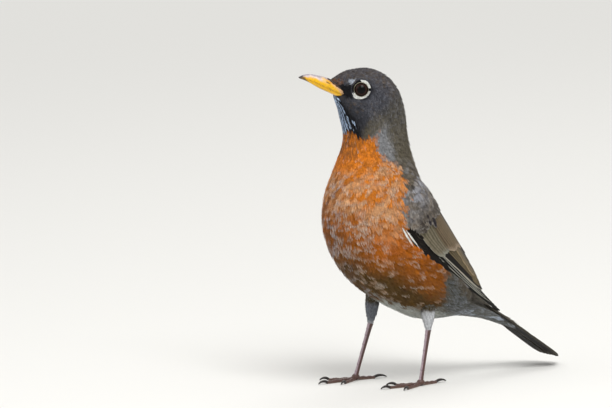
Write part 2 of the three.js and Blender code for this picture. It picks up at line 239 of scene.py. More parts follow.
wingTopRail = at(*np.array([
    (15, -5, 133), (13.5, -17.5, 120.5), (12, -28.4, 105.8), (11, -40.5, 88.6),
    (9.5, -52.2, 71.8), (7.5, -62.2, 55.4), (4.5, -75.8, 42.4),
]).T)
wingFootRail = at(*np.array([
    (26.5, 9, 121), (29.8, 7, 100), (32.0, -3, 85.5), (31.0, -18.7, 73.2),
    (26.8, -36.5, 61.4), (19.0, -55.5, 51.5), (8.0, -75.5, 41.2),
]).T)
wing = {"covertsEnd": 0.56, "proud": 2.9}


def wingSurface(side):
    # A point of the folded wing between its lower and upper rails, bulged outwards by a parabola
    # across; along runs from the shoulder to the wing's tip, across from the lower edge up.
    def place(along, across, lift):
        foot, footSlope = rail(wingFootRail, along)
        top, topSlope = rail(wingTopRail, along)
        outward = -unit(np.cross(top - foot, unit(footSlope) + unit(topSlope)))
        bulge = lerp(9.0, 1.6, smooth(0, 0.95, along)) * smooth(-0.1, 0.14, along)
        rise = bulge * 4 * across * (1 - across) + lift
        p = foot + (top - foot) * across[..., None] + outward * rise[..., None]
        return p * np.array([side, 1, 1])
    return place


def covertsLift(along, across):
    # how far the coverts' shell stands proud of the wing's own surface, tapering to the quills
    thin = smooth(0.3, wing["covertsEnd"], along)
    low = lerp(0.03, 0.3, smooth(0.1, 0.45, along))
    blunt = np.sin(math.pi / 2 * np.clip(along / wing["covertsEnd"] * 2 + 0.25, 0, 1))
    k = np.clip((across - low) / (0.98 - low), 0, 1) * 6
    bulge = np.sqrt(np.sin(math.pi * (k + 0.35) / 6.7))
    shell = wing["proud"] * blunt * bulge * lerp(1, 0.75, thin)
    return lerp(shell, lerp(0.6, 2.0, across), smooth(0.5, 0.62, along))


def wingHeights():
    # How high the folded wing stands over the body: each place on the body reads the wing's
    # points that lie straight out from it, and the edge of the wing is then smoothed.
    u, v = np.linspace(7.2, 17, 66), np.linspace(0, 0.65, 46)
    station, round = grid(u, v)
    ground = body(station, round, 0 * round).reshape(-1, 3)
    out = unit(body(station, round, 0 * round + 1).reshape(-1, 3) - ground)
    along, across = grid(np.linspace(0, 1, 64), np.linspace(0, 1, 36))
    shell = wingSurface(1)(along, across, covertsLift(along, across)).reshape(-1, 3)
    height = out @ shell.T - np.sum(out * ground, axis=1)[:, None]
    apart = np.sum(ground**2, axis=1)[:, None] + np.sum(shell**2, axis=1) - 2 * ground @ shell.T
    share = np.exp(-(apart - height**2) / 3) * (height > -4)
    total = share.sum(axis=1)
    cover = np.maximum((share * height).sum(axis=1) / np.maximum(total, 1e-6), 0)
    cover = (cover * np.clip(total / 1.5, 0, 1)).reshape(station.shape)
    for _ in range(3):
        row = np.pad(cover, 1, mode="edge")
        beside = row[:-2, 1:-1] + row[2:, 1:-1] + row[1:-1, :-2] + row[1:-1, 2:]
        cover = (beside + 2 * row[1:-1, 1:-1]) / 6
    return chart(u, v, cover)


overWing = wingHeights()


def coated(station, round, lift):
    # the ground that body feathers lie on: the body, and the folded wings where they cover it,
    # but for the wings' tips, which lie on the rump's feathers
    b = np.abs(round)
    covered = lerp(smooth(14.9, 14.1, station), smooth(13.3, 12.5, station), smooth(0.36, 0.3, b))
    return body(station, round, lift + overWing(station, b) * covered)


def bareFace(station, round):
    # how far in front of the face's line of feathers a place is, in millimetres: that line runs
    # from the bill's ridge back to the corner of the mouth and forward again under the bill
    place = plainBody(station, round, 0 * station)
    heights = [155, 160, 176.5, 178.2, 179.6, 181.4, 183.9, 185.8, 188.2]
    fronts = [99, 42, 33.6, 30.9, 29.0, 29.9, 33.1, 36.8, 40.5]
    return originForward - place[..., 1] - np.interp(place[..., 2], heights, fronts)


def limbSurface(points, radii):
    # a round limb along a path: along is the share of the path, round once about it from 0 to 1
    points, radii = np.asarray(points, float), np.asarray(radii, float)[:, None]

    def place(along, round, lift):
        # the path's centre, and from there the radius and the lift, turned about the path
        centre, slope = rail(points, along)
        ahead = unit(slope)
        across = unit(np.cross([0, 0, 1.0], ahead))
        upward = np.cross(ahead, across)
        r = (rail(radii, along)[0][..., 0] + lift)[..., None]
        a = (round * 2 * math.pi)[..., None]
        return centre + across * r * np.cos(a) + upward * r * np.sin(a)
    return place


def newMaterial(name, **sockets):
    # a Principled material; an underscore in a socket's name stands for a space
    made = bpy.data.materials.new(name)
    made.use_nodes = True
    shader = made.node_tree.nodes["Principled BSDF"]
    for socket, value in sockets.items():
        shader.inputs[socket.replace("_", " ")].default_value = value
    return made, made.node_tree, shader


def addNode(tree, kind, settings=None, **links):
    # Adds a node. A link is named for its input, or is i and the input's number, and its value
    # is a socket to join or a plain value to set.
    node = tree.nodes.new(kind)
    for key, value in (settings or {}).items():
        setattr(node, key, value)
    for key, value in links.items():
        socket = node.inputs[int(key[1:]) if key[1:].isdigit() else key]
        if isinstance(value, bpy.types.NodeSocket):
            tree.links.new(value, socket)
        else:
            socket.default_value = value
    return node


def tinted(name, grain=None, height=None, **sockets):
    # A material that takes each point's own colour. The grain is a fine noise: its scale and
    # detail, the shades that it turns the colour darker and lighter by, and the strength and
    # distance of the bump, whose height is the noise or one that the material works out.
    made, tree, shader = newMaterial(name, **sockets)
    tint = addNode(tree, "ShaderNodeAttribute", {"attribute_name": "tint"})
    colour = tint.outputs["Color"]
    if grain:
        place = addNode(tree, "ShaderNodeTexCoord")
        noise = addNode(tree, "ShaderNodeTexNoise", Vector=place.outputs["Object"],
                        Scale=grain["scale"], Detail=grain["detail"])
        level = addNode(tree, "ShaderNodeMapRange", i0=noise.outputs[0], i1=0.3, i2=0.7,
                        i3=grain["shades"][0], i4=grain["shades"][1])
        shade = addNode(tree, "ShaderNodeMix", {"data_type": "RGBA", "blend_type": "MULTIPLY"},
                        i0=1.0, i6=colour, i7=level.outputs[0])
        bump = addNode(tree, "ShaderNodeBump", Strength=grain["bump"], Distance=grain["distance"],
                       Height=height(tree) if height else noise.outputs[0])
        tree.links.new(bump.outputs[0], shader.inputs["Normal"])
        colour = shade.outputs[2]
    tree.links.new(colour, shader.inputs["Base Color"])
    return made


def barbs(tree):
    # the barbs of a stiff vane: a wave over the vane's own map, on lines that slant from the
    # shaft to the tip
    vane = addNode(tree, "ShaderNodeUVMap", {"uv_map": "Vane"})
    split = addNode(tree, "ShaderNodeSeparateXYZ", Vector=vane.outputs[0])
    outwards = addNode(tree, "ShaderNodeMath", {"operation": "ABSOLUTE"}, i0=split.outputs[0])
    slant = addNode(tree, "ShaderNodeMath", {"operation": "MULTIPLY_ADD"},
                    i0=outwards.outputs[0], i1=-barb["slant"], i2=split.outputs[1])
    turn = addNode(tree, "ShaderNodeMath", {"operation": "MULTIPLY"},
                   i0=slant.outputs[0], i1=2 * math.pi / barb["apart"])
    return addNode(tree, "ShaderNodeMath", {"operation": "SINE"}, i0=turn.outputs[0]).outputs[0]


# Contour feathers: keratin barbs that part into soft dull locks. Their colour is each feather's
# own, broken by fine streaks about 0.5 mm wide, with hardly any shine.
softFeather = tinted(
    "feather keratin, soft barbs",
    {"scale": 900.0, "detail": 3.0, "shades": (0.78, 1.2), "bump": 0.35, "distance": 0.0003},
    Roughness=0.8, Sheen_Weight=0.02, Specular_IOR_Level=0.06, Sheen_Roughness=0.6,
)
# Flight feathers: flat vanes of stiff hooked barbs, slightly glossy. Real barbs lie 0.3 mm apart
# and are drawn 0.8 mm apart, so that they show.
barb = {"apart": 0.8, "slant": 1.3}
stiffFeather = tinted(
    "feather keratin, stiff vane",
    {"scale": 700.0, "detail": 3.0, "shades": (0.8, 1.18), "bump": 0.4, "distance": 0.0002},
    barbs, Roughness=0.6, Sheen_Weight=0.01, Specular_IOR_Level=0.1,
)
# Bill and claws: horn grown in layers and worn smooth, so a soft gloss with a faint grain.
horn = tinted(
    "bill horn",
    {"scale": 1200.0, "detail": 4.0, "shades": (0.88, 1.1), "bump": 0.15, "distance": 0.0002},
    Roughness=0.38, Specular_IOR_Level=0.3, Coat_Weight=0.2, Coat_Roughness=0.3,
)
# Legs: thin horny scales over tendon, smooth and a little shiny.
legSkin = tinted(
    "leg scales",
    {"scale": 900.0, "detail": 3.0, "shades": (0.82, 1.16), "bump": 0.3, "distance": 0.0002},
    Roughness=0.42, Coat_Weight=0.15, Coat_Roughness=0.3,
)
# Eye: a wet clear cornea over a dark iris, so a sharp highlight on near black.
wetEye = tinted("wet eye", Roughness=0.5, Specular_IOR_Level=0.0, Coat_Weight=1.0,
                Coat_Roughness=0.03, Coat_IOR=1.22)

# the camera looks at a place to the left of the ground between the feet and up from it, in metres
view = {"azimuth": 55, "elevation": 9, "distance": 9.0, "lens": 873, "left": 0.0494, "up": 0.1085}
stage = {"floor": "#e6e5e1", "clearTo": 0.7, "fadeTo": 2.2, "radius": 20.0, "sides": 96,
         "sky": 0.62}
lamps = [
    {"name": "key", "azimuth": 80, "elevation": 58, "distance": 1.6, "size": 0.9, "watts": 17},
    {"name": "fill", "azimuth": -10, "elevation": 35, "distance": 1.8, "size": 1.2, "watts": 4.5},
    {"name": "back", "azimuth": 215, "elevation": 45, "distance": 1.8, "size": 1.0, "watts": 6},
]


def direction(azimuth, elevation):
    # the way to a camera or lamp: the azimuth is 0 in front of the bird and 90 on its left
    a, e = math.radians(azimuth), math.radians(elevation)
    return np.array([math.sin(a) * math.cos(e), -math.cos(a) * math.cos(e), math.sin(e)])


def aim(thing, spot, target):
    # puts a camera or lamp at a spot and points it at the target
    thing.location = Vector(spot)
    thing.rotation_euler = (Vector(target) - Vector(spot)).to_track_quat("-Z", "Y").to_euler()


def makeCamera():
    # the camera stands back from its target by its azimuth, elevation and distance
    back = direction(view["azimuth"], view["elevation"])
    right = direction(view["azimuth"] + 90, 0)
    up = np.cross(back, right)
    between = np.array([0, originForward * mm, 0])  # the ground between the feet
    target = between - right * view["left"] + up * view["up"]
    camera = bpy.data.cameras.new("camera")
    camera.sensor_width = 36
    camera.lens = view["lens"]
    thing = newObject("camera", camera)
    aim(thing, target + back * view["distance"], target)
    bpy.context.scene.camera = thing


def makeLamps():
    # square lamps that look at the bird's middle
    for lamp in lamps:
        light = bpy.data.lights.new(lamp["name"], "AREA")
        light.size = lamp["size"]
        light.energy = lamp["watts"]
        target = np.array([0, originForward * mm, 0.1])  # the bird's middle
        back = direction(lamp["azimuth"], lamp["elevation"])
        aim(newObject(lamp["name"], light), target + back * lamp["distance"], target)


def seenDirectly(tree):
    # 1 for what the camera sees straight, in a reflection or through something clear
    path = addNode(tree, "ShaderNodeLightPath")
    near = addNode(tree, "ShaderNodeMath", {"operation": "MAXIMUM"},
                   i0=path.outputs["Is Camera Ray"], i1=path.outputs["Is Glossy Ray"])
    return addNode(tree, "ShaderNodeMath", {"operation": "MAXIMUM"},
                   i0=near.outputs[0], i1=path.outputs["Is Transmission Ray"]).outputs[0]


def makeStage():
    # the world lights the bird as a weak white sky and shows as the plain colour of the floor
    pale = (*linear(stage["floor"]), 1)
    world = bpy.data.worlds.new("studio")
    bpy.context.scene.world = world
    world.use_nodes = True
    tree = world.node_tree
    sky = tree.nodes["Background"]
    sky.inputs["Color"].default_value = (1, 1, 1, 1)
    sky.inputs["Strength"].default_value = stage["sky"]
    shown = addNode(tree, "ShaderNodeBackground", Color=pale, Strength=1.0)
    both = addNode(tree, "ShaderNodeMixShader", i0=seenDirectly(tree), i1=sky.outputs[0],
                   i2=shown.outputs[0])
    tree.links.new(both.outputs[0], tree.nodes["World Output"].inputs["Surface"])

    # a matt floor that turns into the plain background away from the bird
    made, tree, shader = newMaterial("matt paper floor", Roughness=0.9, Base_Color=pale)
    place = addNode(tree, "ShaderNodeTexCoord")
    away = addNode(tree, "ShaderNodeVectorMath", {"operation": "LENGTH"}, i0=place.outputs["Object"])
    fade = addNode(tree, "ShaderNodeMapRange", {"interpolation_type": "SMOOTHSTEP"},
                   i0=away.outputs["Value"], i1=stage["clearTo"], i2=stage["fadeTo"])
    amount = addNode(tree, "ShaderNodeMath", {"operation": "MULTIPLY"}, i0=fade.outputs[0],
                     i1=seenDirectly(tree))
    glow = addNode(tree, "ShaderNodeEmission", Color=pale, Strength=1.0)
    both = addNode(tree, "ShaderNodeMixShader", i0=amount.outputs[0], i1=shader.outputs[0],
                   i2=glow.outputs[0])
    tree.links.new(both.outputs[0], tree.nodes["Material Output"].inputs["Surface"])
    turn = np.linspace(0, 2 * math.pi, stage["sides"] + 1)[:-1]
    ring = np.stack([np.cos(turn), np.sin(turn), 0 * turn], axis=1) * stage["radius"] / mm
    floor = addMesh("floor", ring, [np.arange(stage["sides"])[None]], made, ring[:, :2] * 0 + 0.5)


makeCamera()
makeLamps()
makeStage()
print("camera, lamps and floor made")


def steps(surface, u, v, reach=1e-3):
    # millimetres of surface for a unit of u and of v, and 1 or -1 for the way its faces turn
    zero = np.zeros_like(u)
    alongU = surface(u + reach, v, zero) - surface(u - reach, v, zero)
    alongV = surface(u, v + reach, zero) - surface(u, v - reach, zero)
    out = surface(u, v, zero + 1) - surface(u, v, zero)
    facing = np.sign(np.median(np.sum(np.cross(alongU, alongV) * out, axis=-1)))
    lengths = [np.linalg.norm(d, axis=-1) / (2 * reach) for d in (alongU, alongV)]
    return np.maximum(lengths[0], 1e-3), np.maximum(lengths[1], 1e-3), facing


lockRow = np.array([0, 0, 1, 1, 2, 2, 3, 3, 4])  # the row that each point of a lock is in
lockEdge = np.array([-1, 1, -1, 1, -1, 1, -1, 1, 0])  # and the edge that it is on
lockShare = np.array([0, 0.3, 0.6, 0.86, 1.0])  # each row's share of the lock's length
lockTaper = np.array([0.9, 1.0, 0.95, 0.64, 0])  # and the lock's width there
lockQuads = np.array([[0, 1, 3, 2], [2, 3, 5, 4], [4, 5, 7, 6]])  # a lock's faces
lockTip = np.array([[6, 7, 8]])
bakePatch = 0.003  # the side of a soft feather's square on the baked map


def plume(name, surface, roots, seed, warp=None):
    # A coat of soft feathers, each a fan of narrow locks. A lock leaves the root beside its
    # neighbours, lies along the surface and rises from the skin to the coat's own height;
    # the outer locks end sooner, so that the feather's tip is round and frayed.
    # roots holds each feather's place u and v, length, half width, yaw, low and high lift, colours
    # down, base and tip, amount of fringe, place bakeU and bakeV on the baked map, and how dark
    # its middle is; the down colour at the root is painted darker, as shade under the feathers over it.
    # All but u and v may be one value for the whole coat. It also holds the count of locks and how
    # loose they lie. Lengths are in millimetres.
    random = np.random.default_rng(seed)
    count, locks, loose = len(roots["u"]), roots["locks"], roots["loose"]

    def each(key):
        # one number for a feather, the same over its rows and columns
        return np.broadcast_to(roots[key], count)[:, None, None]

    def eachColour(key):
        # one colour for a feather, the same over its rows and columns
        return np.broadcast_to(roots[key], (count, 3))[:, None, None, :]

    stepU, stepV, facing = steps(surface, roots["u"], roots["v"])
    lane = np.linspace(-1, 1, locks)
    end = 0.6 + 0.4 * np.sqrt(1 - 0.85 * lane**2)
    end = end * (1 - loose * random.uniform(-0.06, 0.14, (count, locks)))
    share = (end[..., None] * lockShare)[..., lockRow]  # count, locks, 9
    spread = 0.3 + 0.7 * np.sin(np.minimum(share, 0.75) / 0.75 * math.pi / 2)
    half = each("half")
    sway = loose * random.normal(0, 0.12, (count, locks))[..., None] * share**2
    across = (lane[None, :, None] * spread + sway) * half
    across = across + lockEdge * lockTaper[lockRow] * half * 1.35 / locks
    along = share * each("length")
    ahead, aside = np.cos(each("yaw")), np.sin(each("yaw"))
    u = each("u") + (along * ahead - across * aside) / stepU[:, None, None]
    v = each("v") + (along * aside + across * ahead) / stepV[:, None, None]
    stray = loose * random.normal(0, 0.12, (count, locks))[..., None] * share
    camber = -0.22 * half * (lane[None, :, None] * spread) ** 2
    lift = each("low") + (each("high") - each("low")) * share**0.75 + stray + camber * share
    points = surface(u, v, lift)
    if warp is not None:
        points = warp(points)
    # colours: down at the root, painted darker as the shade under the feathers over it, the feather's
    # own over most of it, the fringe at the tip
    shareRow = lockShare[lockRow]
    tint = lerp(eachColour("down"), eachColour("base"), smooth(0.05, 0.4, shareRow)[:, None])
    fringe = (each("fringe")[..., 0] * random.uniform(0.75, 1.15, (count, locks)))[..., None]
    fringe = np.clip(fringe * smooth(0.72, 1.0, shareRow), 0, 1)[..., None]
    tint = tint * (1 - fringe) + eachColour("tip") * fringe
    dark = lerp(each("middle")[..., 0], 1.0, smooth(0.1, 0.6, np.abs(lane))[None])
    tint = tint * (random.normal(1, 0.07, (count, locks)) * dark)[..., None, None]
    # each feather is a small patch of the map at its root's place
    bakeU = each("bakeU") + (share - 0.5) * bakePatch
    bakeV = each("bakeV") + (lane[None, :, None] + 0.6 * lockEdge / locks) * bakePatch / 2
    bake = np.stack([bakeU, bakeV], axis=-1).reshape(-1, 2)
    first = (np.arange(count * locks) * len(lockRow))[:, None, None]
    faces = [(first + corners).reshape(-1, corners.shape[1]) for corners in (lockQuads, lockTip)]
    if facing > 0:
        faces = [f[:, ::-1] for f in faces]
    return addMesh(name, points.reshape(-1, 3), faces, softFeather, bake, tint=tint.reshape(-1, 3))


def scatter(count, u, v, weight):
    # Spreads roots evenly over a field of weights: a sequence that fills the unit square
    # evenly, carried through the running sums of the weights along both axes of the field.
    first, second = evenly(np.arange(1, count + 1))
    rows = np.cumsum(weight.sum(axis=1))
    ends = np.append(u, 2 * u[-1] - u[-2])
    u0 = np.interp(first * rows[-1], np.concatenate([[0], rows]), ends)
    index = np.clip(np.searchsorted(u, u0) - 1, 0, len(u) - 1)
    sums = np.cumsum(weight, axis=1)
    sums = sums / np.maximum(sums[:, -1:], 1e-9)
    keys = (sums + np.arange(len(u))[:, None]).ravel()
    found = np.searchsorted(keys, index + second * 0.999999)
    column = np.clip(found - index * len(v), 0, len(v) - 1)
    before = np.where(column > 0, sums[index, column - 1], 0)
    part = (second - before) / np.maximum(sums[index, column] - before, 1e-9)
    return u0, v[column] + part * (v[1] - v[0])


# the eye's place and sizes, in millimetres
eye = {"side": 9.25, "forward": 18.8, "up": 182.3, "ball": 5.1, "aperture": 4.1, "lid": 0.24,
       "parted": 1.2, "feathers": 900}


def eyeFrame(side):
    # the eye's middle, the axis that it looks along, and two axes across it: forward and up
    centre = turned(at(side * eye["side"], eye["forward"], eye["up"]))
    fore = turned(at(side * eye["side"], eye["forward"] + 1, eye["up"])) - centre
    out = unit(turned(at(side * (eye["side"] + 1), eye["forward"], eye["up"])) - centre)
    out = unit(out + 0.12 * unit(fore) + np.array([0, 0, 0.1]))
    up = unit(np.array([0, 0, 1.0]) - out * out[2])
    return centre, out, unit(np.cross(up, out) * np.sign(np.dot(np.cross(up, out), fore))), up


eyeFrames = [eyeFrame(side) for side in (1, -1)]


def fromEye(station, round):
    # how far forward and above the eye of its own side a place on the head is, in millimetres
    points = body(station, round, 0 * station)
    left, right = (
        np.stack([(points - centre) @ fore, (points - centre) @ up], axis=-1)
        for centre, _, fore, up in eyeFrames
    )
    return np.where((round > 0)[..., None], left, right)


def aboutEye(points, centre, out):
    # how far points are along the eye's axis, the way straight out from it, and how far
    away = points - centre
    depth = np.sum(away * out, axis=-1)
    across = away - depth[..., None] * out
    return depth, across, np.linalg.norm(across, axis=-1)


def partEyes(points):
    # Feathers part round each eye: points near its axis move straight out from it, those on
    # the axis to the middle of the ring of pale feathers, those far away not at all.
    hole = eye["aperture"] + eye["parted"]
    for centre, out, _, _ in eyeFrames:
        depth, across, r = aboutEye(points, centre, out)
        push = (np.sqrt(r**2 + hole**2) - r) * np.exp(-((r / 7.5) ** 2)) * smooth(-2, 1, depth)
        points = points + unit(across) * push[..., None]
    return points


def sinkEyes(points):
    # the skin dips behind each eyeball, so that it meets the lid
    for centre, out, _, _ in eyeFrames:
        depth, _, r = aboutEye(points, centre, out)
        ball = np.sqrt(np.maximum(eye["ball"] ** 2 - r**2, 0)) - 0.5
        near = (1 - smooth(eye["aperture"] + 0.3, eye["aperture"] + 2.2, r)) * smooth(0, 1, depth)
        points = points + out * ((np.minimum(ball, depth) - depth) * near)[..., None]
    return points


# colours of the body's plumage, some of them darkened as painted shade on the underside, and the crown's
# with a painted sheen
colour = palette(
    slate="#3a3b41", crown="#4a4648", brown="#4f453b", headEdge="#8d8e96", nape="#48443b",
    hindneck="#565042", patch="#85878a", throatBlack="#161619", throatWhite="#b1c6e2",
    rust="#62422c", orange="#cf7618", tan="#bd8f66", fringe="#cbbfb2", rufous="#b76114",
    deep="#854b0d", dusk="#3f3315", umber="#6a4a30", vent="#9c9d93", undertail="#605f58",
    patchWhite="#b4bdca", flank="#4b4941", back="#5a5247", backEdge="#857d70", rump="#504e46",
    white="#dcdcd6",
)
# lines over the body, each as [station, share of half round] or [share of half round, station]:
# the breast's upper edge, the breast's hind end, the hood's lower edge and the white chin's side
breastEdge = [
    (3.5, 0.5), (6.0, 0.5), (6.3, 0.53), (6.9, 0.545), (7.3, 0.52), (7.6, 0.47), (7.9, 0.43),
    (8.2, 0.41), (8.8, 0.42), (9.4, 0.44), (9.8, 0.46), (10.4, 0.46), (11.0, 0.42), (12.4, 0.4),
    (13.2, 0.46), (13.7, 0.52), (14.1, 0.6), (14.3, 0.8), (14.6, 1.0),
]
breastEnd = [(0.4, 12.5), (0.46, 13.1), (0.52, 13.8), (0.6, 14.2), (0.72, 14.2), (0.8, 13.8),
             (0.9, 13.3), (1.0, 13.1)]
hoodEnd = [(0.45, 6.1), (0.52, 6.1), (0.62, 5.75), (0.7, 5.25), (0.76, 4.5), (0.83, 3.8), (1.0, 3.8)]
chinSide = [(0, 0.56), (0.6, 0.6), (1.6, 0.68), (2.2, 0.68), (4, 0.6)]


def read(line, x):
    # the height at x of a line through points (x, height)
    return np.interp(x, *np.transpose(line))


def drift(u, v, seed):
    # slow random variation over a surface, about -1 to 1, as a sum of a few waves
    random = np.random.default_rng(seed)
    total = np.zeros_like(u)
    for _ in range(6):
        wave = random.normal(0, 1, 2)
        total = total + np.sin(u * wave[0] * 2.2 + v * wave[1] * 14 + random.uniform(0, 6.3))
    return total / 2.5


def markings(station, round, random):
    # Base colour, fringe colour and fringe amount of the feather at a place on the body.
    b = np.abs(round)
    noise = drift(station, round, 11)
    speck = random.normal(0, 1, len(station))
    # hood: slate and brown feathers mixed, browner on the crown, with paler edges; the crown's
    # purple-grey is partly a painted sheen, where the light falls on the top of the head
    base = mixed(colour["slate"], colour["crown"], smooth(0.36, 0.12, b) * 0.9)
    brown = random.normal(0, 0.8, len(b)) + 0.4 * noise + 0.9 * smooth(0.4, 0.1, b)
    base = mixed(base, colour["brown"], smooth(0.6, 1.6, brown) * 0.8)
    tip = np.broadcast_to(colour["headEdge"], base.shape)
    fringe = 0.2 + 0.4 * np.clip(random.normal(0.2, 0.7, len(b)), 0, 1)
    # throat: thin white lines of feathers among the black ones, thickest in its middle
    base = mixed(base, colour["throatBlack"], smooth(0.6, 0.7, b) * smooth(6.2, 5.4, station))
    line = np.sin(b * 104 + 1.2 * np.sin(station * 1.3) + 0.6 * noise) + 0.3 * speck
    middle = smooth(0, 0.2, b + 0.02 * noise - read(chinSide, station)) * smooth(-0.1, 0.2, station)
    isWhite = (middle > 0.12) & (line > lerp(0.9, -0.2, middle)) & (station < 3.9 - 0.4 * speck)
    base = np.where(isWhite[:, None], colour["throatWhite"], base)
    tip = np.where(isWhite[:, None], colour["throatWhite"], tip)
    fringe = fringe * np.where(isWhite, 1, 1 - 0.8 * smooth(0.5, 0.6, b))
    # nape and hindneck, and the grey patch on the side of the neck
    hind = smooth(5.2, 7.0, station + 3 * smooth(0.35, 0.5, b))
    neck = mixed(colour["nape"], colour["hindneck"], hind)
    patch = smooth(0.34, 0.45, b + 0.03 * noise) * smooth(5.6, 6.2, station)
    neck = mixed(neck, colour["patch"], patch * 0.9)
    base = mixed(base, neck, smooth(4.3, 5.6, station + 0.2 * noise) * smooth(0.69, 0.61, b))
    # mantle and back
    back = mixed(colour["back"], colour["patch"], smooth(0.15, 0.33, b) * smooth(0.2, 1.2, speck) * 0.6)
    back = mixed(back, colour["rump"], smooth(13, 16, station))
    base = mixed(base, back, smooth(7.6, 8.6, station))
    tip = mixed(tip, colour["backEdge"], smooth(5.5, 8, station) * smooth(0.6, 0.5, b))
    # breast: from the hood's edge down to the vent, bounded above by a line on the neck's side
    end = read(breastEnd, b)
    front = smooth(-0.2, 0.2, station - read(hoodEnd, b) + 0.12 * speck)
    isBreast = smooth(-0.015, 0.015, b - read(breastEdge, station) + 0.012 * speck) * front
    isBreast = isBreast * smooth(0.25, -0.25, station - end + 0.2 * speck)
    patches = drift(station * 4.2, round * 3.4, 31) + 0.4 * speck
    # lower grows down the body and towards the middle underneath, so that the darker colours, which are
    # partly painted shade from below, come sooner there
    lower = station + 3.4 * (b - 0.5) + 0.3 * noise + 0.15 * patches
    warm = mixed(colour["orange"], colour["rufous"], smooth(9.6, 11.2, lower))
    warm = mixed(warm, colour["deep"], smooth(10.9, 12.3, lower) * 0.85)
    # painted shade under the lower belly, spreading further up towards the middle underneath
    dusk = smooth(11.8, 13.4, lower) * smooth(0.54, 0.68, b)
    dusk = np.maximum(smooth(12.9, 14.3, lower), dusk)
    warm = mixed(warm, colour["dusk"], dusk * 0.9)
    # warm runs from orange through rufous to a deep rufous brown, which is partly painted shade, and on
    # to the painted shade of the lower belly, with tan and umber patches
    tan = smooth(6.9, 8.0, station) * smooth(11.6, 10.4, lower)
    tan = tan * (1 - 0.7 * smooth(0.52, 0.48, b) * smooth(8.6, 9.2, station))
    warm = mixed(warm, colour["tan"], tan * smooth(-0.8, 0.8, patches) * 0.9)
    umber = smooth(0.66, 0.8, b) * smooth(6.8, 5.4, station)
    # down the breast's middle the umber is partly painted shade
    umber = umber + smooth(0.82, 0.96, b) * smooth(7, 8, station) * 0.8
    warm = mixed(warm, colour["umber"], umber * smooth(0.7, -0.7, patches) * 0.8)
    warm = warm * (1 + 0.1 * np.clip(patches, -1.5, 1.5))[:, None]
    base = mixed(base, warm, isBreast)
    whitish = smooth(0.6, 0.74, b + 0.06 * noise) * band(station, 8.8, 9.8, 10.4, 11.8)
    rosy = band(station, 10.3, 11.0, 12.2, 13.2)
    base = mixed(base, colour["deep"], isBreast * whitish * 0.5)
    paler = mixed(colour["fringe"], colour["tan"], (1 - whitish) * random.uniform(0, 0.8, len(b)))
    paler = mixed(paler, colour["patchWhite"], smooth(0.82, 0.94, b) * random.uniform(0, 0.8, len(b)))
    tip = mixed(tip, paler, isBreast)
    isPale = random.random(len(b)) < 0.08 + 0.3 * tan + 0.36 * whitish + 0.22 * rosy
    fringe = lerp(fringe, np.where(isPale, random.uniform(0.5, 1.2, len(b)), 0.08), isBreast)
    # behind the breast: grey flank, and a pale vent and undertail whose whitish grey is painted darker,
    # as shade under the body
    behind = smooth(-0.25, 0.25, station - end + 0.2 * speck) * smooth(0.36, 0.42, b)
    # the vent's and the undertail's colours hold painted shade as well as their own whitish grey
    under = mixed(colour["flank"], colour["vent"], smooth(0.58, 0.72, b) * smooth(16.2, 14.6, station))
    under = mixed(under, colour["undertail"], smooth(14.8, 16.0, station))
    patch = smooth(0.3, 0.9, speck) * smooth(15, 15.6, station) * band(b, 0.48, 0.56, 0.7, 0.8)
    under = mixed(under, colour["patchWhite"], patch)
    base = mixed(base, under, behind)
    fringe = lerp(fringe, 0.2 + 0.2 * np.abs(speck), behind)
    tip = mixed(tip, colour["patchWhite"], behind)
    # face: rusty feathers over the bill's root, black lores, the white spot in front of the eye
    ahead, above = np.moveaxis(fromEye(station, round), -1, 0)
    isHead = station < 4.6
    rust = smooth(9.0, 12.0, ahead) * band(above, 1.5, 3.0, 6.5, 8.5) * isHead
    base = mixed(base, colour["rust"], rust * smooth(-0.6, 0.6, speck))
    lore = smooth(3.5, 5.0, ahead) * smooth(3.2, 1.8, above - 0.12 * (ahead - 6))
    lore = lore * smooth(-6.0, -4.0, above) * isHead
    base = mixed(base, colour["throatBlack"], lore)
    spot = smooth(1.2, 0.75, np.hypot((ahead - 5.1) / 2.0, (above - 4.8) / 1.5)) * isHead
    base = mixed(base, colour["patchWhite"], spot)
    tip = mixed(tip, colour["white"], spot)
    return base, tip, fringe * (1 - 0.9 * lore)


# rings along the skin and points around each
skin = {"rings": 180, "around": 128}


def coatDepth(station):
    # millimetres of plumage over the skin, along the body
    return np.interp(station, [0, 1, 5, 8, 16, 18], [0.5, 1.0, 1.6, 2.5, 2.6, 1.6])


def gridFaces(rows, columns, closed):
    # quads between rows of points; closed joins the last column to the first
    i, j = grid(np.arange(rows - 1), np.arange(columns if closed else columns - 1))
    near, far = i * columns, (i + 1) * columns
    nextJ = (j + 1) % columns
    return np.stack([near + j, near + nextJ, far + nextJ, far + j], axis=-1).reshape(-1, 4)


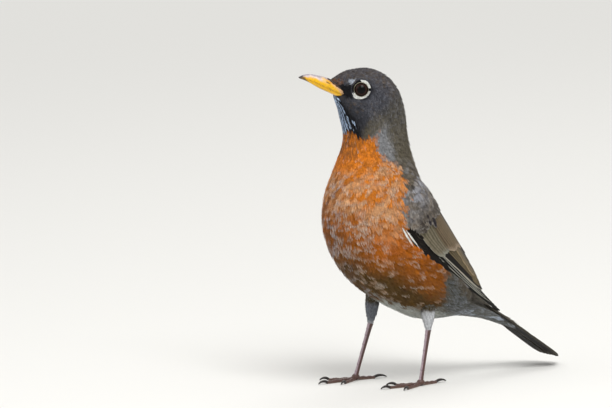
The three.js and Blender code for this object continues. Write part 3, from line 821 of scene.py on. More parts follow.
def tube(name, points, material, tint):
    # A closed tube from rings of points, with a point in the middle of each end; its faces are
    # turned round if the volume that they enclose comes out negative. The tint is one colour
    # for it all or one for each point.
    rows, columns = points.shape[:2]
    flat = points.reshape(-1, 3)
    k = np.arange(columns)
    nextK = (k + 1) % columns
    first, last, base = len(flat), len(flat) + 1, (rows - 1) * columns
    capA = np.stack([np.full(columns, first), nextK, k], axis=1)
    capB = np.stack([np.full(columns, last), base + k, base + nextK], axis=1)
    faces = [gridFaces(rows, columns, True), np.concatenate([capA, capB])]
    a, b, c = np.moveaxis(flat[faces[0][:, :3]] - flat.mean(axis=0), 1, 0)
    if np.sum(np.cross(b - a, c - a) * a) < 0:
        faces = [f[:, ::-1] for f in faces]
    i, j = grid(np.linspace(0.01, 0.99, rows), np.linspace(0.01, 0.99, columns))
    uv = np.concatenate([np.stack([j, i], axis=-1).reshape(-1, 2), [[0.5, 0.005], [0.5, 0.995]]])
    points, tint = (
        np.concatenate([row.reshape(-1, 3), [row[0].mean(axis=0), row[-1].mean(axis=0)]])
        for row in (points, np.broadcast_to(tint, points.shape))
    )
    return addMesh(name, points, faces, material, uv, tint=tint)


def makeSkin():
    # the body's surface, lowered by the coat's depth and a little more where the face is bare
    station, round = grid(np.linspace(0, lastStation, skin["rings"]),
                          np.linspace(-1, 1, skin["around"] + 1)[:-1])
    bare = smooth(-0.8, 0.6, bareFace(station, round))
    points = sinkEyes(body(station, round, -coatDepth(station) - 1.6 * bare))
    base, _, _ = markings(station.ravel(), round.ravel(), np.random.default_rng(3))
    # the skin takes the markings painted a fifth darker, as the shade deep in the coat
    return tube("skin", points, softFeather, (base * 0.8).reshape(points.shape))


# lines along the body, each as [station, height]: the folded wing's lower and upper edges as
# shares of half round, millimetres between feathers, their length as a multiple of that, and
# how much neighbours differ in shade
wingLow = [(8.8, 0.37), (9.2, 0.41), (9.7, 0.46), (10.2, 0.51), (10.6, 0.508), (11.2, 0.478),
           (12.2, 0.42), (14.0, 0.29), (14.6, 0.0)]
wingHigh = [(8.8, 0.36), (9.2, 0.31), (9.5, 0.25), (9.75, 0.15), (10.1, 0.11), (12.3, 0.11),
            (13.0, 0.24), (13.6, 0.4)]
spacingLine = [(0, 0.75), (1, 0.85), (3, 1.1), (6, 1.5), (8.5, 2.2), (10.5, 2.7), (13, 2.8), (15, 2.4),
               (18, 2.3)]
lengthLine = [(0, 3.2), (2, 3.8), (6, 4.2), (10, 3.9), (18, 4.4)]
contrastLine = [(0, 0.16), (5, 0.14), (8, 0.08), (10, 0.1), (18, 0.1)]
# each part of the coat: its slot, its locks to a feather and how loose they lie
coatParts = {
    "head_coat": ("head_feathers", 5, 0.6), "neck_coat": ("neck_feathers", 7, 0.6),
    "back_coat": ("rump_feathers", 7, 0.4), "breast_coat": ("breast_feathers", 9, 0.8),
    "belly_coat": ("belly_feathers", 9, 0.8), "vent_coat": ("rump_feathers", 7, 1.1),
}


def throatShare(station, b):
    # 1 on the throat, 0 away from it; b is how far round from the back
    return smooth(0.5, 0.62, b) * smooth(6.2, 5.2, station)


def featherSpacing(station, b):
    # millimetres between feather roots: finest on the face, finer on the throat and along the
    # wing's lower edge than about them
    beside = band(station, 9.4, 10.0, 13.0, 13.5)
    beside = beside * smooth(0.08, 0.03, np.abs(b - read(wingLow, station)))
    return read(spacingLine, station) * (1 - 0.25 * throatShare(station, b)) * (1 - 0.4 * beside)


def bodyRoots():
    # roots spread over a field of cells, as dense as the feathers' spacing asks for
    halfU, halfV = 0.025, 1 / 240  # half a cell
    u = np.linspace(0, lastStation, 361)[:-1] + halfU
    v = np.linspace(-1, 1, 241)[:-1] + halfV
    station, round = grid(u, v)
    stepU, stepV, _ = steps(body, station, round)
    b = np.abs(round)
    area = stepU * stepV * (u[1] - u[0]) * (v[1] - v[0])
    weight = area / featherSpacing(station, b) ** 2
    # none where the wings lie, but for those that overhang the wing's edges, and none on the bill
    low = read(wingLow, station) - 0.05 * (round < 0) * smooth(12.2, 11.2, station)
    covered = (b > read(wingHigh, station)) & (b < low) & (station > 8.8)
    inEye = (np.linalg.norm(fromEye(station, round), axis=-1) < 5.0) & (station < 5)
    weight = weight * np.where(covered | inEye | (bareFace(station, round) > 0), 0.0, 1.0)
    return scatter(int(weight.sum()), u - halfU, v - halfV, weight)


def makeBodyCoat():
    # small feathers spread over the body and coloured by their place, a piece for each region
    random = np.random.default_rng(21)
    station, round = bodyRoots()
    station = np.clip(station + random.normal(0, 0.03, len(station)), 0, lastStation)
    b = np.abs(round)
    spacing = featherSpacing(station, b)
    throat = throatShare(station, b)
    length = spacing * read(lengthLine, station) * (1 + 0.5 * throat)
    length = length * random.uniform(0.9, 1.1, len(b))
    # a feather is coloured by the place where its open end shows
    stepU, _, _ = steps(body, station, round)
    base, tip, fringe = markings(station + 0.7 * length / stepU, round, random)
    contrast = read(contrastLine, station)
    base = base * np.clip(random.normal(1, 1, len(b)) * contrast + 1 - contrast, 0.3, 2)[:, None]
    # those over the roots of the wing's innermost feathers lie a little higher
    proud = smooth(8.8, 9.2, station) * band(b, 0.1, 0.16, 0.3, 0.36)
    roots = {
        "u": station, "v": round, "length": length,
        "half": spacing * random.uniform(0.85, 1.05, len(b)) * (1 - 0.3 * throat),
        "yaw": random.normal(0, 0.09, len(b)), "low": -coatDepth(station),
        "high": random.normal(0.0, 0.12, len(b)) - 0.1 + 0.8 * proud,
        "down": base * 0.6, "base": base, "tip": tip, "fringe": fringe,
        "bakeU": 0.5 + round * 0.49, "bakeV": 0.01 + station / lastStation * 0.98,
    }
    under = b >= 0.35
    regions = {
        "head_coat": station < 5.0,
        "neck_coat": (station >= 5.0) & (station < 8.6),
        "back_coat": (station >= 8.6) & ~under,
        "breast_coat": (station >= 8.6) & (station < 11.3) & under,
        "belly_coat": (station >= 11.3) & (station < 14.6) & under,
        "vent_coat": (station >= 14.6) & under,
    }
    for i, (name, chosen) in enumerate(regions.items()):
        slot, locks, loose = coatParts[name]
        part = {key: value[chosen] for key, value in roots.items()}
        part.update(locks=locks, loose=loose, middle=0.88)
        made = plume(name, coated, part, 40 + i, partEyes if name == "head_coat" else None)
        finishPiece(made, slot)
        print(name, len(part["u"]), "feathers", len(made.data.polygons), "faces")


def makeTuft(label, side):
    # long loose white feathers that stick out from under the wing's lower front edge
    random = np.random.default_rng(50 + side)
    roots = {
        "u": np.array([10.3, 10.4, 10.4, 10.5]), "v": side * np.array([0.520, 0.518, 0.508, 0.502]),
        "length": [11.5, 12.5, 10.5, 12.5], "half": [0.5, 0.4, 0.3, 0.3],
        "yaw": side * np.array([-0.02, -0.05, -0.1, -0.1]), "low": -0.5,
        "high": random.uniform(0.9, 1.2, 4), "down": colour["white"] * 0.8, "base": colour["white"],
        "tip": colour["white"], "fringe": 0.0, "bakeU": np.linspace(0.1, 0.9, 4), "bakeV": 0.5,
        "locks": 4, "loose": 0.5, "middle": 1.0,
    }
    finishPiece(plume(f"axillary_tuft_{label}", coated, roots, 52 + side), "belly_feathers")


finishPiece(makeSkin(), "breast_feathers", "head", "neck", "breast", "belly", "rump")
makeBodyCoat()
makeTuft("left", 1)
makeTuft("right", -1)
print("skin and body coat made")

# the points across a vane as shares of its half width, and the parts of a feather with a
# colour of their own
vaneColumns = np.array([-1, -0.82, -0.7, -0.36, -0.07, 0, 0.07, 0.36, 0.7, 0.85, 1])
vaneParts = ("outer", "inner", "edge", "end", "shaft")


def slabFaces(rows, columns):
    # faces of a closed slab: a grid of top points, then the same grid of points beneath
    top = gridFaces(rows, columns, False)
    count = rows * columns
    edge = np.concatenate([
        np.arange(columns), np.arange(1, rows) * columns + columns - 1,
        (rows - 1) * columns + np.arange(columns - 2, -1, -1), np.arange(rows - 2, 0, -1) * columns,
    ])
    after = np.roll(edge, -1)
    rim = np.stack([after, edge, edge + count, after + count], axis=1)
    return np.concatenate([top, top[:, ::-1] + count, rim])


def vanes(name, surface, feathers, seed, cover=None):
    # Long feathers, each a thin closed slab about a shaft. The shaft runs over the surface from
    # its start to its tip, both [u, v], and bends as a power of its length; the vane widens from
    # the root and rounds off at the tip, and its edge is nicked where barbs have parted.
    random = np.random.default_rng(seed)
    count, rows, columns = len(feathers["half"]), feathers["rows"], len(vaneColumns)

    def each(key):
        # one number for a feather, the same over its rows and columns
        return feathers[key][:, None, None]

    def eachColour(key):
        # one colour for a feather, the same over its rows and columns
        return feathers[key][:, None, None, :]

    t = 1 - (1 - np.linspace(0, 1, rows)[None, :, None]) ** 1.25
    c = vaneColumns[None, None, :]
    start, tip = feathers["start"], feathers["tip"]
    u = start[:, 0, None, None] + (tip[:, 0] - start[:, 0])[:, None, None] * t
    v = start[:, 1, None, None] + (tip[:, 1] - start[:, 1])[:, None, None] * t ** each("bend")
    u, v = np.broadcast_arrays(u, v)
    stepU, stepV, facing = steps(surface, u[..., 0], v[..., 0])
    aheadU = np.gradient(u[..., 0], axis=1) * stepU
    aheadV = np.gradient(v[..., 0], axis=1) * stepV
    reach = np.hypot(aheadU, aheadV)
    aheadU, aheadV = (aheadU / reach)[..., None], (aheadV / reach)[..., None]
    pastPoint = np.maximum(0, t - each("pointed")) / (1.001 - each("pointed"))
    taper = np.sqrt(np.clip(1 - pastPoint**2.2, 0, 1))
    width = each("half") * (0.55 + 0.45 * smooth(0, 0.3, t)) * np.maximum(taper, 0.06)
    nick = 1 - 0.16 * (random.random((count, rows, 1)) > 0.93)
    nick = nick - random.uniform(0, 0.035, (count, rows, 1))
    width = width * np.where(np.abs(c) > 0.8, nick, 1)
    across = c * width * (1 + np.sign(c) * each("shift"))
    u = u - across * aheadV / stepU[..., None]
    v = v + across * aheadU / stepV[..., None]
    lift = lerp(each("lowLift"), each("highLift"), t**0.8)
    lift = lift - each("curl") * c**2 + 0.1 * (1 - np.abs(c)) ** 6
    if cover is not None:
        lift = lift + cover(u, v)
    top = surface(u, v, lift)
    under = surface(u, v, lift - each("thick"))
    # colours: an outer and an inner vane, a pale outer margin, a dark shaft, and the tip
    shade = lerp(eachColour("outer"), eachColour("inner"), smooth(-0.05, 0.12, c)[..., None])
    margin = np.where(c < -0.9, 1, np.where(c < -0.75, each("broad"), (c > 0.9) * 0.4))
    shade = lerp(shade, eachColour("edge"), (margin * each("edged"))[..., None])
    shade = lerp(shade, eachColour("end"), (smooth(0.86, 1.0, t) * each("ended"))[..., None])
    shade = lerp(shade, eachColour("shaft"), ((np.abs(c) < 0.05) * 0.8)[..., None])
    shade = shade * random.normal(1, 0.05, (count, rows, 1, 1))
    shade = np.broadcast_to(shade * random.normal(1, 0.05, (count, 1, 1, 1)), top.shape)
    # each feather has a cell of the map, its upper face on the left and its lower face on the right
    cells = math.ceil(math.sqrt(count))
    number = np.arange(count)[:, None, None]
    spot = (c * 0.22 + 0.25) * np.ones_like(t), t * 0.94 + 0.03 + 0 * c
    bakeV = (number // cells + spot[1]) / cells
    bake = [np.stack([(number % cells + spot[0] + half) / cells, bakeV], axis=-1) for half in (0, 0.5)]
    vane = np.stack(np.broadcast_arrays(across, np.cumsum(reach, axis=1)[..., None]), axis=-1)
    faces = slabFaces(rows, columns)
    if facing > 0:
        faces = faces[:, ::-1]
    faces = faces + (np.arange(count) * 2 * rows * columns)[:, None, None]
    # the lower face of each feather takes its colours painted a fifth darker, as shade
    return addMesh(name, np.stack([top, under], axis=1).reshape(-1, 3), [faces.reshape(-1, 4)],
                   stiffFeather, np.stack(bake, axis=1).reshape(-1, 2),
                   np.stack([vane, vane], axis=1).reshape(-1, 2),
                   np.stack([shade, shade * 0.8], axis=1).reshape(-1, 3))


# a row's settings where it gives none: the power that the shaft bends by, how far the inner vane
# is wider than the outer, thickness in millimetres, where along it the tip begins to round off,
# how far its edges curl down, and the amounts of pale edge, pale tip and broad edge
plainRow = {
    "bend": 1.0, "shift": 0.0, "thick": 0.3, "pointed": 0.78, "curl": 0.25, "edged": 1.0, "ended": 0.4,
    "broad": 0.0,
}


def featherRow(count, start, tip, half, low, high, colours, rows=22, jitter=0.0, **more):
    # A row of feathers between its first and its last: start, tip, half width and the lowest and
    # highest lift are pairs for the two. The other settings are one number for all the feathers,
    # and the colours are in the order of vaneParts.
    share = np.linspace(0, 1, count)

    def between(pair):
        # from the first of a pair to the last in even steps, one for each feather
        first, last = np.asarray(pair[0], float), np.asarray(pair[1], float)
        return first + (last - first) * (share[:, None] if first.ndim else share)

    row = {"start": between(start), "tip": between(tip), "half": between(half),
           "lowLift": between(low), "highLift": between(high), "rows": rows}
    uneven = np.stack([np.sin(share * 37), 0.5 * np.sin(share * 53)], axis=1)
    row["tip"] = row["tip"] + jitter * uneven
    row.update({key: np.full(count, value) for key, value in {**plainRow, **more}.items()})
    row.update({key: np.tile(linear(value), (count, 1)) for key, value in zip(vaneParts, colours)})
    return row


# colours of the wing's feathers, each row in the order of vaneParts
wingColour = {
    "greater": ("#75654d", "#54483a", "#ab9985", "#a4937f", "#332a21"),
    "outerGreater": ("#706857", "#55503f", "#8d8a7c", "#979a90", "#3a3229"),
    "median": ("#4f4841", "#302c29", "#918d88", "#8d8983", "#171514"),
    "darkMedian": ("#2b272b", "#211e23", "#858079", "#6b655e", "#151317"),
    "black": ("#15110f", "#0f0c0b", "#4d463c", "#1a1614", "#0b0908"),
    "tertial": ("#6a5e4b", "#4a4033", "#a08c6c", "#6f634e", "#2b231a"),
    # the inner tertials: dark inner webs, darkened further as painted shade along the back's edge
    "topTertial": ("#2a221d", "#15110e", "#8e7d6c", "#2a231d", "#120f0d"),
    "innerSecondary": ("#62563f", "#3d3428", "#8a7a5e", "#5a4f3f", "#241d16"),
    "secondary": ("#16120f", "#100d0b", "#c3bfb0", "#3a332b", "#0c0a09"),
    "primary": ("#12100e", "#0d0b0a", "#c3c2b6", "#262220", "#0a0908"),
}
lesserColour = palette(pale="#7c7266", dark="#4a433d", shoulder="#95969c", tip="#aaa8a6")
fleshColour = linear("#4b453e")


def recolour(row, chosen, colours):
    # gives the chosen feathers of a row other colours
    for key, value in zip(vaneParts, colours):
        row[key][chosen] = linear(value)


def makeFlesh(label, side):
    # the wing's flesh: a low closed shell beneath the coverts
    above = np.concatenate([np.linspace(0, 1, 24), np.linspace(1, 0, 16)])
    along, across = grid(np.linspace(0.0, 0.6, 40), above)
    low = lerp(0.06, 0.3, smooth(0.1, 0.45, along))
    across = lerp(low, 0.94, across)
    lift = covertsLift(along, across) - 1.5
    lift[:, 24:] = -6
    points = wingSurface(side)(along, across, lift)
    flesh = tube(f"wing_flesh_{label}", points, softFeather, fleshColour)
    finishPiece(flesh, "wing_coverts", f"wing_coverts_{label}")


def makeLesserCoverts(label, side, seed):
    # small soft feathers from the shoulder to the median coverts, dark in the middle and pale at
    # the edge
    surface = wingSurface(side)
    random = np.random.default_rng(seed)
    u, v = np.linspace(-0.03, 0.2, 60), np.linspace(0.0, 1.02, 60)
    along, across = grid(u, v)
    stepU, stepV, _ = steps(surface, along, across)
    weight = stepU * stepV * (u[1] - u[0]) * (v[1] - v[0]) / 2.4**2
    weight = weight * (across > lerp(0.0, 0.13, smooth(0.06, 0.2, along)))
    weight = weight * (across < lerp(1.1, 0.8, smooth(0.08, 0.18, along)))
    along, across = scatter(int(weight.sum()), u, v, weight)
    many = len(along)
    dark = smooth(-0.5, 1.3, random.normal(0, 1, many))
    base = mixed(lesserColour["pale"], lesserColour["dark"], dark)
    shoulder = smooth(0.16, 0.0, along) * random.uniform(0, 1, many)
    base = mixed(base, lesserColour["shoulder"], shoulder)
    roots = {
        "u": along, "v": across, "length": random.uniform(7.5, 9.5, many),
        "half": random.uniform(2.1, 2.7, many), "yaw": random.normal(-0.08, 0.1, many),
        "low": covertsLift(along, across) - 1.6,
        "high": covertsLift(along + 0.06, across) + random.normal(-0.1, 0.15, many),
        "down": base * 0.5, "base": base, "tip": lesserColour["tip"],
        "fringe": random.uniform(0.1, 0.8, many) ** 1.5, "bakeU": (along + 0.04) / 0.3,
        "bakeV": across * 0.9 + 0.03, "locks": 9, "loose": 0.15,
        "middle": random.uniform(0.45, 0.85, many),
    }
    finishPiece(plume(f"lesser_coverts_{label}", surface, roots, seed + 1), "wing_coverts")


def wingRows():
    # The wing's rows of stiff feathers, by name. Places on the wing are [along, across]; the
    # first feather of a row is the one nearest the back, and of the primaries the innermost.
    rows = {
        "median_coverts": featherRow(
            11, ([0.15, 0.9], [0.13, 0.17]), ([0.28, 0.88], [0.25, 0.17]), (2.9, 2.5), (-1.3, -1.4),
            (0.1, -0.2), wingColour["median"], pointed=0.6, ended=0.8, broad=0.6, jitter=0.015),
        "dark_coverts": featherRow(
            2, ([0.2, 0.45], [0.185, 0.36]), ([0.3, 0.35], [0.262, 0.29]), (1.5, 1.3), (-0.9, -0.9),
            (0.4, 0.3), wingColour["darkMedian"], pointed=0.6, ended=0.7, broad=0.5),
        "greater_coverts": featherRow(
            8, ([0.28, 0.66], [0.23, 0.36]), ([0.53, 0.64], [0.47, 0.33]), (3.0, 2.9), (-1.5, -1.5),
            (-0.2, -0.5), wingColour["greater"], pointed=0.74, shift=0.1, ended=0.75, thick=0.2,
            curl=0.1, broad=0.4, jitter=0.012),
        "outer_greater_coverts": featherRow(
            5, ([0.22, 0.33], [0.17, 0.15]), ([0.47, 0.3], [0.46, 0.14]), (2.8, 2.0), (-1.5, -1.5),
            (-0.5, -0.7), wingColour["outerGreater"], pointed=0.74, shift=0.1, ended=0.55,
            thick=0.2, curl=0.1, jitter=0.01),
        "alula": featherRow(
            3, ([0.16, 0.12], [0.17, 0.04]), ([0.29, 0.12], [0.36, 0.06]), (1.9, 1.7), (-1.0, -1.2),
            (0.1, -0.3), wingColour["black"], edged=0.9),
        "primary_coverts": featherRow(
            6, ([0.2, 0.15], [0.19, 0.03]), ([0.42, 0.15], [0.48, 0.06]), (2.0, 1.8), (-1.6, -1.9),
            (-0.5, -1.0), wingColour["black"], pointed=0.6),
        "tertials": featherRow(
            5, ([0.24, 0.98], [0.3, 0.6]), ([0.56, 0.97], [0.74, 0.56]), (3.4, 3.8), (-1.6, -1.6),
            (0.3, 0.1), wingColour["tertial"], broad=0.3),
        "secondaries": featherRow(
            8, ([0.3, 0.56], [0.3, 0.2]), ([0.77, 0.52], [0.83, 0.36]), (3.0, 2.4), (-1.9, -1.9),
            (-0.1, -0.6), wingColour["secondary"], broad=0.3),
        "primaries": featherRow(
            9, ([0.22, 0.32], [0.2, 0.1]), ([0.82, 0.36], [1.05, 0.42]), (2.9, 2.4), (-1.3, -2.4),
            (-0.5, -2.0), wingColour["primary"], shift=0.2, bend=3.0, pointed=0.7, broad=0.35, rows=30),
    }
    # the three inner tertials take the dark colours, which are partly painted shade
    recolour(rows["tertials"], slice(0, 3), wingColour["topTertial"])
    rows["tertials"]["pointed"][:4] = 0.45
    rows["tertials"]["highLift"][:4] -= 0.8
    recolour(rows["secondaries"], slice(0, 6), wingColour["innerSecondary"])
    rows["secondaries"]["edged"][5:] = [0.5, 0.0, 1.0]
    rows["secondaries"]["broad"][7] = 0.4
    rows["primaries"]["edged"][:] = [0, 1, 0, 1, 0, 1, 0, 0, 0]
    return rows


# for each row: its seed as a step from the wing's own, whether it lies on the coverts' shell,
# its slot, and the solid that it stands for where there is one
wingPieces = {
    "median_coverts": (2, True, "wing_coverts"), "dark_coverts": (3, True, "wing_coverts"),
    "greater_coverts": (4, True, "wing_coverts"), "outer_greater_coverts": (5, True, "wing_coverts"),
    "alula": (5, False, "wing_coverts"), "primary_coverts": (6, False, "wing_coverts"),
    "tertials": (7, True, "secondaries", "wing_secondaries"), "secondaries": (8, True, "secondaries"),
    "primaries": (9, False, "primaries", "wing_primaries"),
}


def makeWing(label, side):
    # the folded wing: flesh, small coverts, and the rows of long feathers in their order
    seed = 60 if side > 0 else 80
    makeFlesh(label, side)
    makeLesserCoverts(label, side, seed)
    rows = wingRows()
    for name, (past, isOnCoverts, slot, *nodes) in wingPieces.items():
        cover = covertsLift if isOnCoverts else None
        made = vanes(f"{name}_{label}", wingSurface(side), rows[name], seed + past, cover)
        finishPiece(made, slot, *[f"{node}_{label}" for node in nodes])


for label, side in (("left", 1), ("right", -1)):
    makeWing(label, side)
print("wings made")

# root and tip of the tail as [forward, up]
tail = {"root": (-70, 46.0), "tip": (-126.6, 4.9), "spread": 1.25, "half": 5.096, "drop": 0.5,
        "pairs": 6}
tailColour = ("#4a443d", "#2b2724", "#7b7468", "#5a534a", "#1b1815")
# the outer pairs' colours are painted shade, for the tail's underside seen below its edge
outerTailColour = palette(outer="#1b1917", inner="#151311")


def tailSurface(along, across, lift):
    # the plane of the tail: along its length as a share, across it in millimetres
    root, tip = at(0.0, *tail["root"]), at(0.0, *tail["tip"])
    sideways, ahead = np.array([1.0, 0, 0]), tip - root
    up = unit(np.cross(sideways, ahead))
    up = up * np.sign(up[2])
    return root + ahead * along[..., None] + sideways * across[..., None] + up * lift[..., None]


def makeTail():
    # the middle pair lies on top, and each left feather over the right one of its pair
    pair = np.repeat(np.arange(tail["pairs"]), 2).astype(float)
    side = np.tile([1.0, -1.0], tail["pairs"])
    middle = side * (0.5 + pair) * tail["spread"]
    row = featherRow(2 * tail["pairs"], ([0, 0], [0, 0]), ([1, 0], [1, 0]), (tail["half"], tail["half"]),
                     (0, 0), (0, 0), tailColour, pointed=0.86, rows=26, thick=0.28, edged=0.8,
                     ended=0.6, curl=0.35)
    row["start"][:, 1] = middle * 0.55
    row["tip"] = np.stack([1 - 0.006 * pair**1.6, middle], axis=1)
    row["lowLift"] = -tail["drop"] * pair * 0.7 - 1.8 - 0.12 * (side < 0)
    row["highLift"] = -tail["drop"] * pair + 0.5 - 0.12 * (side < 0)
    # the outer pairs are painted darker, as shade on the tail's underside
    for key, value in outerTailColour.items():
        row[key] = mixed(row[key], value, smooth(1, 4, pair))
    finishPiece(vanes("tail_feathers", tailSurface, row, 5), "tail_feathers", "tail")


makeTail()
print("tail made")

# colours of the eye and of the short feathers round it
eyeColour = palette(pupil="#020202", iris="#29120a", rim="#0e0705", lid="#8f876f", white="#d0d1cc",
                    dark="#17171a")
# how thick the ring of short feathers is round the eye, as [degrees from the front, share]
ringThick = [(60, 0.5), (90, 0.7), (125, 0.7), (165, 0.5), (180, 0.6), (200, 0.5), (240, 0.5),
             (280, 0.7), (315, 1.1), (345, 0.4), (360, 0.5)]


def ringWay(angle, fore, up):
    # the way straight out from the eye's axis at an angle round it: 0 forward, a quarter turn up
    return np.cos(angle)[..., None] * fore + np.sin(angle)[..., None] * up


def makeBall(label, centre, out, fore, up):
    # eyeball: rings about its axis, with the cornea's own rounder bulge in front
    theta, phi = grid(np.radians(np.linspace(1.5, 178.5, 60)), np.linspace(0, 2 * math.pi, 73)[:-1])
    radius = (eye["ball"] + 0.25 * np.exp(-((theta / 0.55) ** 2)))[..., None]
    way = np.cos(theta)[..., None] * out + np.sin(theta)[..., None] * ringWay(phi, fore, up)
    away = eye["ball"] * np.sin(theta)
    tint = mixed(eyeColour["pupil"], eyeColour["iris"], smooth(2.3, 2.7, away))
    tint = mixed(tint, eyeColour["rim"], smooth(3.0, 3.8, away))
    tint = np.where((theta > 1.4)[..., None], eyeColour["rim"], tint)
    ball = tube(f"eyeball_{label}", centre + radius * way, wetEye, tint)
    finishPiece(ball, "eye_gloss", f"eye_{label}")


def makeLid(label, side, centre, out, fore, up):
    # lid: a rounded ring of bare skin on the ball
    rings, sides = 96, 14
    around, about = grid(np.linspace(0, 2 * math.pi, rings + 1)[:-1],
                         np.linspace(0, 2 * math.pi, sides + 1)[:-1])
    middle = eye["aperture"] + eye["lid"] + 0.1 * np.cos(around) ** 8
    r = middle + eye["lid"] * np.cos(about) * (1 + 0.08 * np.sin(around * 40))
    depth = np.sqrt(eye["ball"] ** 2 - middle**2) + 0.18 + 0.34 * np.sin(about)
    points = centre + r[..., None] * ringWay(around, fore, up) + depth[..., None] * out
    faces = gridFaces(rings + 1, sides, True) % (rings * sides)
    uv = np.stack([around / 6.3, about / 6.3], axis=-1).reshape(-1, 2)
    lid = addMesh(f"eyelid_{label}", points.reshape(-1, 3), [faces if side > 0 else faces[:, ::-1]],
                  legSkin, uv, tint=np.tile(eyeColour["lid"], (rings * sides, 1)))
    finishPiece(lid, "leg_scales")


def makeEye(label, side, frameOfEye):
    # ball and lids, and round them short feathers that stand on the head's own surface
    centre, out, fore, up = frameOfEye
    makeBall(label, centre, out, fore, up)
    makeLid(label, side, centre, out, fore, up)

    # the head's own surface about the eye: its height over a grid of places round the eye's axis
    station, round = grid(np.linspace(1.0, 5.0, 56), side * np.linspace(0.2, 0.62, 56))
    near = body(station, round, 0 * station).reshape(-1, 3) - centre
    gridTurn, gridR = np.linspace(0, 1, 49), np.linspace(4.0, 8.0, 17)
    turns, radii = grid(gridTurn * 2 * math.pi, np.maximum(gridR, 5.6))
    apart = ((np.cos(turns) * radii)[..., None] - near @ fore) ** 2
    apart = apart + ((np.sin(turns) * radii)[..., None] - near @ up) ** 2
    share = np.exp(-apart / 0.5)
    headHeight = chart(gridTurn, gridR, (share * (near @ out)).sum(-1) / share.sum(-1))
    inner = math.sqrt(eye["ball"] ** 2 - (eye["aperture"] + eye["lid"]) ** 2) + 0.35

    def brim(turn, r, lift):
        # a point about the eye's axis: turn is once about it, r millimetres out from it
        height = lerp(inner, headHeight(turn % 1, r), smooth(4.3, 6.4, r)) + lift
        return centre + r[..., None] * ringWay(turn * 2 * math.pi, fore, up) + height[..., None] * out

    random = np.random.default_rng(90 + (side > 0))
    many = eye["feathers"]
    turn = (np.arange(many) * 0.618034) % 1  # steps of the golden ratio, spread evenly round
    clock = turn * 360
    white = band(clock, 80, 90, 166, 174) + band(clock, 188, 196, 332, 346)
    thick = read(ringThick, clock)
    away = eye["aperture"] + 0.2 + 1.6 * random.random(many) * thick
    a = turn * 2 * math.pi
    base = mixed(eyeColour["dark"], eyeColour["white"], smooth(0.3, 0.6, white))
    roots = {
        "u": turn, "v": away, "length": random.uniform(0.9, 1.3, many) * (0.6 + 0.4 * thick),
        "half": 0.36, "yaw": np.arctan2(1 - 0.55 * np.cos(a), 0.55 * np.sin(a)), "low": -0.05,
        "high": random.uniform(0.2, 0.45, many), "down": base * 0.9, "base": base, "tip": base,
        "fringe": 0.0, "bakeU": turn * 0.98 + 0.01, "bakeV": (away - 4) / 3 + 0.1, "locks": 3,
        "loose": 0.7, "middle": 1.0,
    }
    finishPiece(plume(f"eye_ring_{label}", brim, roots, 92 + (side > 0)), "head_feathers")


for label, side, frameOfEye in (("left", 1, eyeFrames[0]), ("right", -1, eyeFrames[1])):
    makeEye(label, side, frameOfEye)
print("eyes made")

# ridge, cutting edge and lower edge, each point [forward, up, half width]
culmenRail = [(33, 185.4, 5.4), (38, 188.2, 4.1), (43, 189.8, 3.2), (48.5, 190.8, 2.4),
              (52.6, 190.4, 1.5), (55.8, 189.1, 0.5)]
cuttingRail = [(25.5, 178.6, 9.4), (31.5, 179.6, 7.6), (38, 182.2, 4.7), (45, 185.6, 3.0),
               (50.6, 187.8, 1.9), (55.2, 188.4, 0.45)]
lowerRail = [(26, 174.2, 6.8), (31.5, 176.4, 5.2), (37, 179.2, 3.4), (43.5, 182.3, 2.2),
             (49, 185.6, 1.4), (53.0, 187.6, 0.5)]
billColour = palette(yellow="#eeb60e", orange="#b8741f", lilac="#c9bec6", dusky="#857f8a",
                     tip="#34333b", gape="#c19a78", under="#b0862e", fleck="#6f4a1c")
# counts of points along each half, over its outside and over its inside, and of small feathers;
# and the nostril's middle and half lengths, along the bill and round it
bill = {"rings": 110, "around": 48, "inner": 8, "feathers": 420}
nostril = {"along": 0.3, "angle": 0.9, "halfLength": 0.055, "halfAngle": 0.13}
# how far along the bill its feathers reach, by the share of half a turn from the ridge
frontLine = [(0, 0.25), (0.12, 0.27), (0.24, 0.22), (0.32, 0.15), (0.4, 0.08), (0.47, 0.0)]


def billPoint(outerRail, along, cosA, sinA, lift):
    # A point of one half of the bill. Across it runs a half ellipse between the cutting edges,
    # with the outer line at its top: cosA is 1 on that line, sinA is 1 and -1 on the edges.
    outer, edge = rail(outerRail, along)[0], rail(cuttingRail, along)[0]
    span = outer[..., :2] - edge[..., :2]
    reach = np.linalg.norm(span, axis=-1, keepdims=True)
    ahead = span / reach
    place = edge[..., :2] + ahead * (0.12 + (reach - 0.12 + lift[..., None]) * cosA[..., None])
    return turned(at((edge[..., 2] + lift) * sinA, place[..., 0], place[..., 1]))


